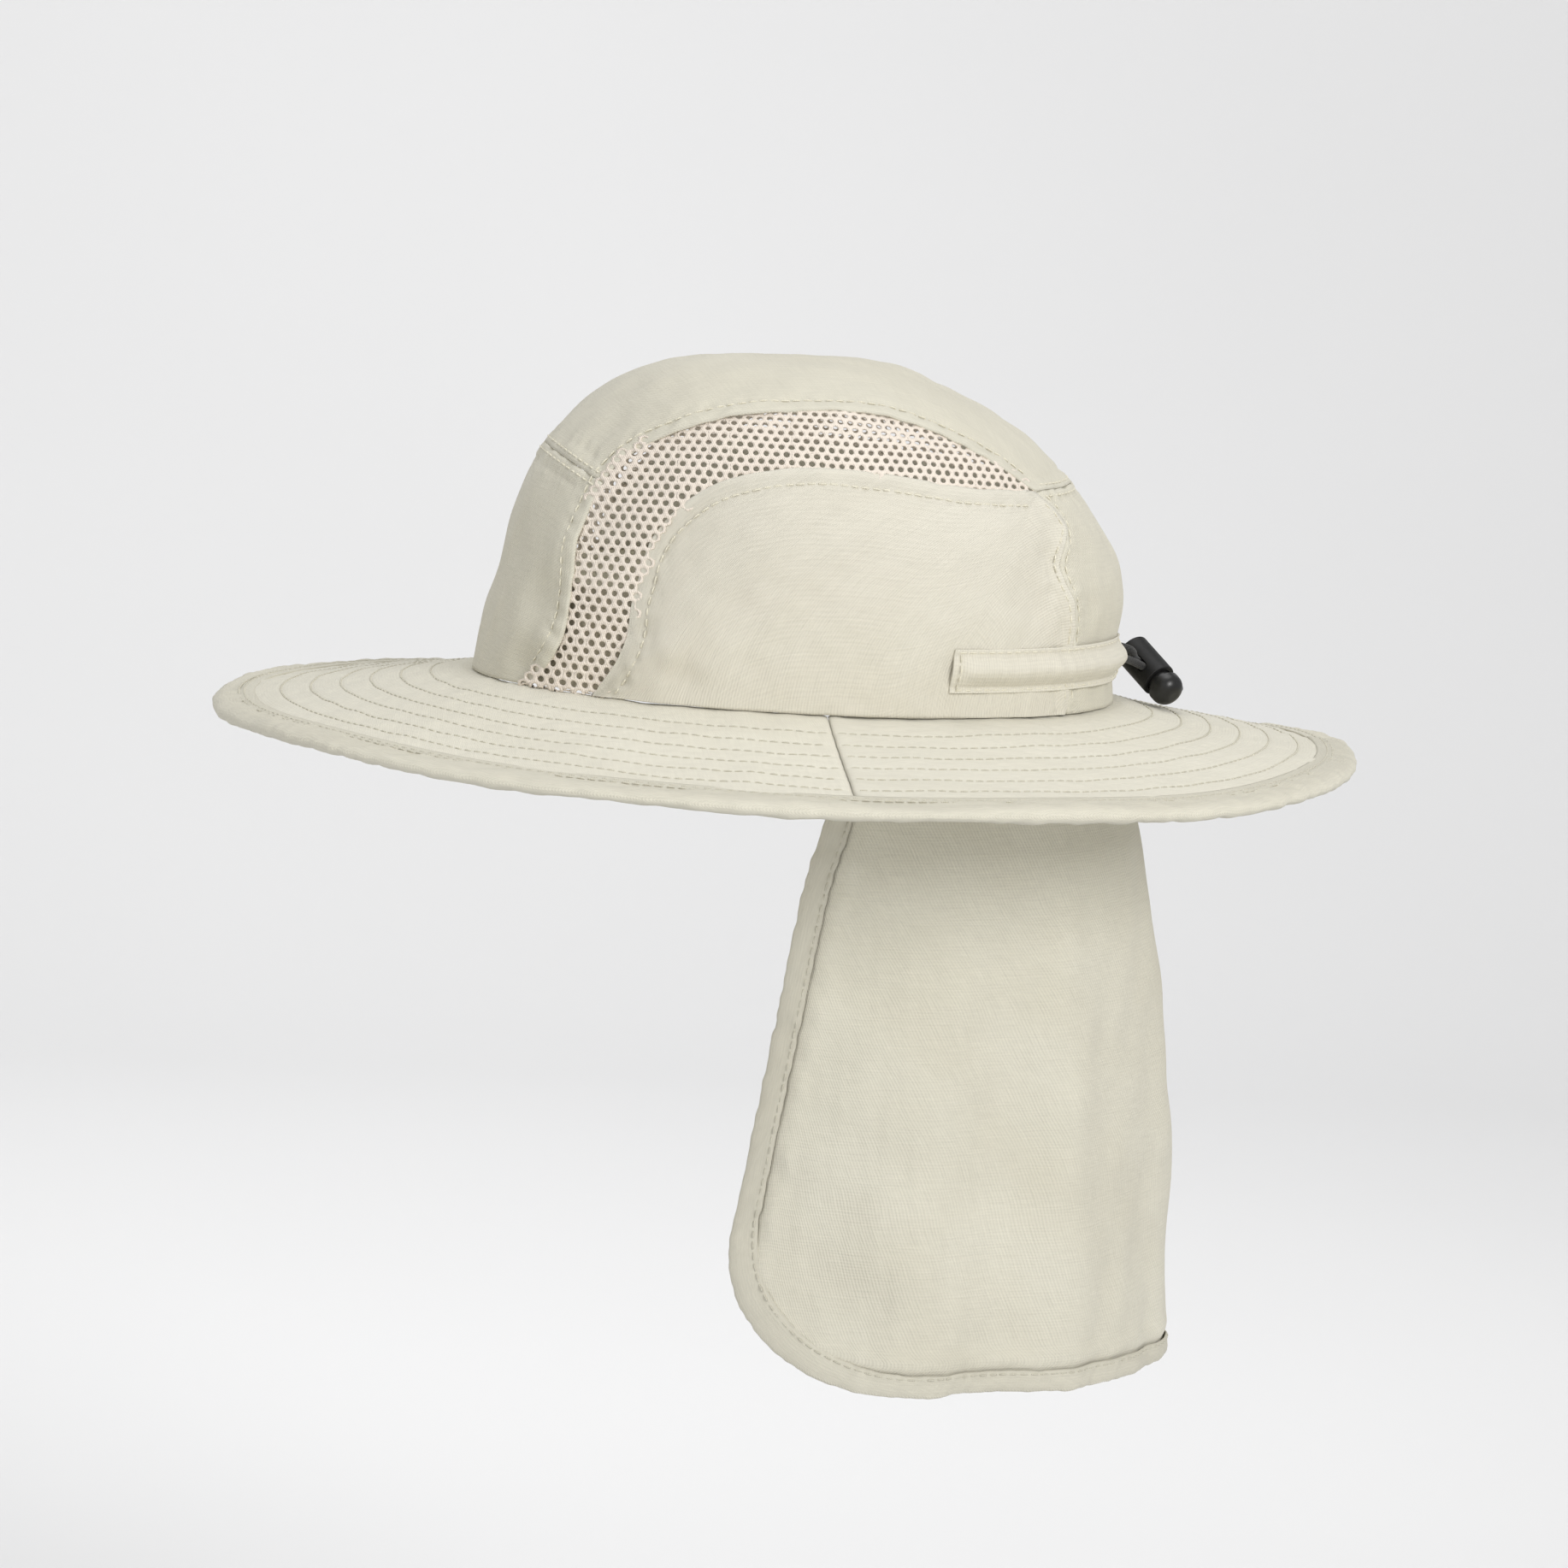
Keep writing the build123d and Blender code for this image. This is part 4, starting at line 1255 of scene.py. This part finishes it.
def make_flap_hem():
    count = 900
    # The folded hem in section: in from the flap's edge, and out from its middle
    section = [
        (HEM_WIDTH, 0.55), (HEM_WIDTH - 0.3, 0.95), (HEM_WIDTH - 1.6, 1.0), (4.0, 1.15), (2.0, 1.1),
        (0.6, 0.9), (-0.1, 0.35), (-0.35, -0.3), (-0.1, -0.95), (0.6, -1.45), (2.0, -1.65), (4.0, -1.7),
        (HEM_WIDTH - 1.6, -1.55), (HEM_WIDTH - 0.3, -1.5), (HEM_WIDTH, -1.1),
    ]
    track = [hem_path(count, max(0.0, inset)) for inset, _ in section]
    grid = np.zeros((count, len(section), 3))
    for j, (inset, rise) in enumerate(section):
        depth, turn = track[j]
        place, out = flap_place(depth, turn, np.full(count, rise))
        if inset < 0:
            inner, _ = flap_place(*hem_path(count, 1.5), np.full(count, rise))
            way = place - inner
            way /= np.linalg.norm(way, axis=1, keepdims=True)
            place = place + way * -inset
        grid[:, j] = place
    puckers = 0.18 * ripple(grid, 9.0, 130) + 0.15 * ripple(grid, 4.0, 131)
    grid = grid + grid_normals(grid) * puckers[..., None]
    outside = grid_normals(grid)[450, 3]
    if outside[0] < 0:
        grid = grid[::-1]
    piece = sheet_piece("flap_hem_cloth", grid, 0.45, twill)
    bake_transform(piece)
    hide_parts("flap_hem")


def make_flap_stitches():
    rows, count = [], 1600
    depth, turn = hem_path(count, HEM_WIDTH - 1.1)
    for rise, sign in ((1.0, 1.0), (-1.58, -1.0)):
        place, out = flap_place(depth, turn, np.full(count, rise))
        rows.append((place[6:-6], out[6:-6] * sign))
    piece = build_stitches("flap_hem_stitching", rows, shade_dark_thread, 135)
    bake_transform(piece)


def make_flap_band():
    """The flap's top edge, sewn under the brim at the head opening."""
    turn_end = float(flap_front(np.array(FLAP_TOP))) - 0.01
    turns = np.linspace(-turn_end, turn_end, 240)
    depths = np.linspace(1.3, FLAP_TOP + 1.4, 16)
    turn, depth = np.meshgrid(turns, depths, indexing="ij")
    grid = flap_surface(depth, turn)
    out = grid_normals(grid)
    if out[120, 8][0] < 0:
        out = -out
    rise = 0.35 + 0.2 * ripple(grid, 8.0, 140) - 0.3 * np.exp(-((depth - 9.5) / 0.8) ** 2)
    grid = grid + out * rise[..., None]
    if grid_normals(grid)[120, 8][0] < 0:
        grid = grid[::-1]
    piece = sheet_piece("flap_band_cloth", grid, 0.9, twill)
    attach(piece, "hat")
    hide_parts("flap_band")
    line = flap_surface(np.full(500, 9.5), np.linspace(-turn_end + 0.02, turn_end - 0.02, 500))
    normal = np.stack([line[:, 0] - FLAP_CENTRE_X, line[:, 1], 0 * line[:, 0]], -1)
    normal /= np.linalg.norm(normal, axis=1, keepdims=True)
    stitch_rows("flap_band_stitching", [(line + normal * 0.25, normal)], shade_dark_thread, seed=141)


make_flap()
make_flap_hem()
make_flap_stitches()
make_flap_band()

stitch_rows("crown_topstitching", crown_rows, thread, seed=95)


# Drawcord and its lock ------------------------------------------------------------------------

LOCK_CENTRE = np.array([113.3, 12.0, 7.8])
LOCK_HEADING = np.array([0.66042, 0.67162, -0.33581])
LOCK_AXIS = np.array([0.46404, -0.71664, -0.52066])
STRAND_HALF = 1.45


def strand_point(along, offset):
    return LOCK_CENTRE + LOCK_HEADING * along + LOCK_AXIS * offset


near_exit, near_lead = np.array([99.8, -7.8, 12.8]), np.array([0.1, 2.6, 0.0])
far_exit, far_lead = np.array([99.8, 7.8, 15.2]), np.array([0.1, -3.0, 0.0])
LOOP = [
    near_exit,
    near_exit + near_lead,
    strand_point(-12.0, STRAND_HALF * 1.03),
    strand_point(-1.5, STRAND_HALF),
    strand_point(9.0, STRAND_HALF * 1.03),
    strand_point(13.0, 3.63),
    strand_point(17.8, 2.97),
    strand_point(17.8, -2.97),
    strand_point(13.0, -3.63),
    strand_point(9.0, -STRAND_HALF * 1.03),
    strand_point(-1.5, -STRAND_HALF),
    strand_point(-7.2, -STRAND_HALF * 1.03),
    far_exit + np.array([6.4, -5.4, -1.0]),
    far_exit + np.array([2.4, -6.8, 0.2]),
    far_exit + far_lead,
    far_exit,
]
CORD_DIAMETER = 2.5


def make_cord():
    curve = bpy.data.curves.new("drawcord", "CURVE")
    curve.dimensions = "3D"
    curve.bevel_depth = CORD_DIAMETER / 2 * MM
    curve.bevel_resolution = 6
    curve.use_fill_caps = True
    curve.resolution_u = 16
    spline = curve.splines.new("NURBS")
    spline.points.add(len(LOOP) - 1)
    for point, place in zip(spline.points, LOOP):
        point.co = (*(place * MM), 1)
    spline.order_u = 3
    spline.use_endpoint_u = True
    curve.materials.append(elastic)
    cord = bpy.data.objects.new("drawcord_free_loop", curve)
    bpy.context.scene.collection.objects.link(cord)
    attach(cord, "hat")
    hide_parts("drawcord_loop")


make_cord()

# CAD pieces that stay, with their own finish
KEPT = {
    "cord_lock_barrel": barrel_black,
    "cord_lock_plunger": plunger_black,
    "cord_lock_spring": spring_steel,
    "drawcord_held_left": elastic,
    "drawcord_held_right": elastic,
}
for node, material in KEPT.items():
    piece = bpy.data.objects[node]
    for slot in piece.material_slots:
        slot.material = material


# Room and light -------------------------------------------------------------------------------

FLOOR_Z = -0.46


def make_backdrop():
    """A pale floor that curves up into the wall behind."""
    radius, back, half, height = 0.9, 2.6, 14.0, 8.0
    section = [(-12.0, 0.0), (back - radius, 0.0)]
    for k in range(1, 17):
        turn = math.pi / 2 * k / 16
        section.append((back - radius + radius * math.sin(turn), radius * (1 - math.cos(turn))))
    section.append((back, height))
    points, faces = [], []
    for y, z in section:
        points += [(-half, y, z + FLOOR_Z), (half, y, z + FLOOR_Z)]
    for k in range(len(section) - 1):
        faces.append((2 * k, 2 * k + 1, 2 * k + 3, 2 * k + 2))
    mesh = bpy.data.meshes.new("backdrop")
    mesh.from_pydata(points, [], faces)
    mesh.polygons.foreach_set("use_smooth", [True] * len(faces))
    n = Nodes("backdrop_paper")
    place = n.add("ShaderNodeTexCoord").outputs["Object"]
    tone = n.ramp(n.noise(place, 1.2, 2.0), [(0.3, (0.745, 0.745, 0.748)), (0.7, (0.765, 0.765, 0.768))])
    n.link(tone, n.shader.inputs["Base Color"])
    n.shader.inputs["Roughness"].default_value = 0.95
    n.shader.inputs["Specular IOR Level"].default_value = 0.1
    mesh.materials.append(n.material)
    drop = bpy.data.objects.new("backdrop", mesh)
    bpy.context.scene.collection.objects.link(drop)


def make_light(name, place, aim, size, power, tint=(1, 1, 1)):
    data = bpy.data.lights.new(name, "AREA")
    data.shape = "RECTANGLE"
    data.size, data.size_y = size
    data.energy = power
    data.color = tint
    lamp = bpy.data.objects.new(name, data)
    lamp.location = place
    way = Vector(aim) - Vector(place)
    lamp.rotation_euler = way.to_track_quat("-Z", "Y").to_euler()
    bpy.context.scene.collection.objects.link(lamp)


def make_world():
    world = bpy.data.worlds.new("studio")
    world.use_nodes = True
    sky = world.node_tree.nodes["Background"]
    sky.inputs["Color"].default_value = (1.0, 1.0, 1.0, 1)
    sky.inputs["Strength"].default_value = 0.60
    bpy.context.scene.world = world


make_backdrop()
make_world()
make_light("key", (0.95, -1.9, 1.0), (0, 0, -0.05), (0.9, 0.9), 25, (1, 0.992, 0.98))
make_light("fill", (-1.6, -1.6, 0.5), (0, 0, -0.05), (1.4, 1.4), 6)
make_light("top", (0.1, 0.2, 2.2), (0, 0, 0), (1.4, 1.4), 13)
make_light("wall", (0.0, 0.6, 0.9), (0, 2.6, 0.0), (0.8, 0.8), 12)
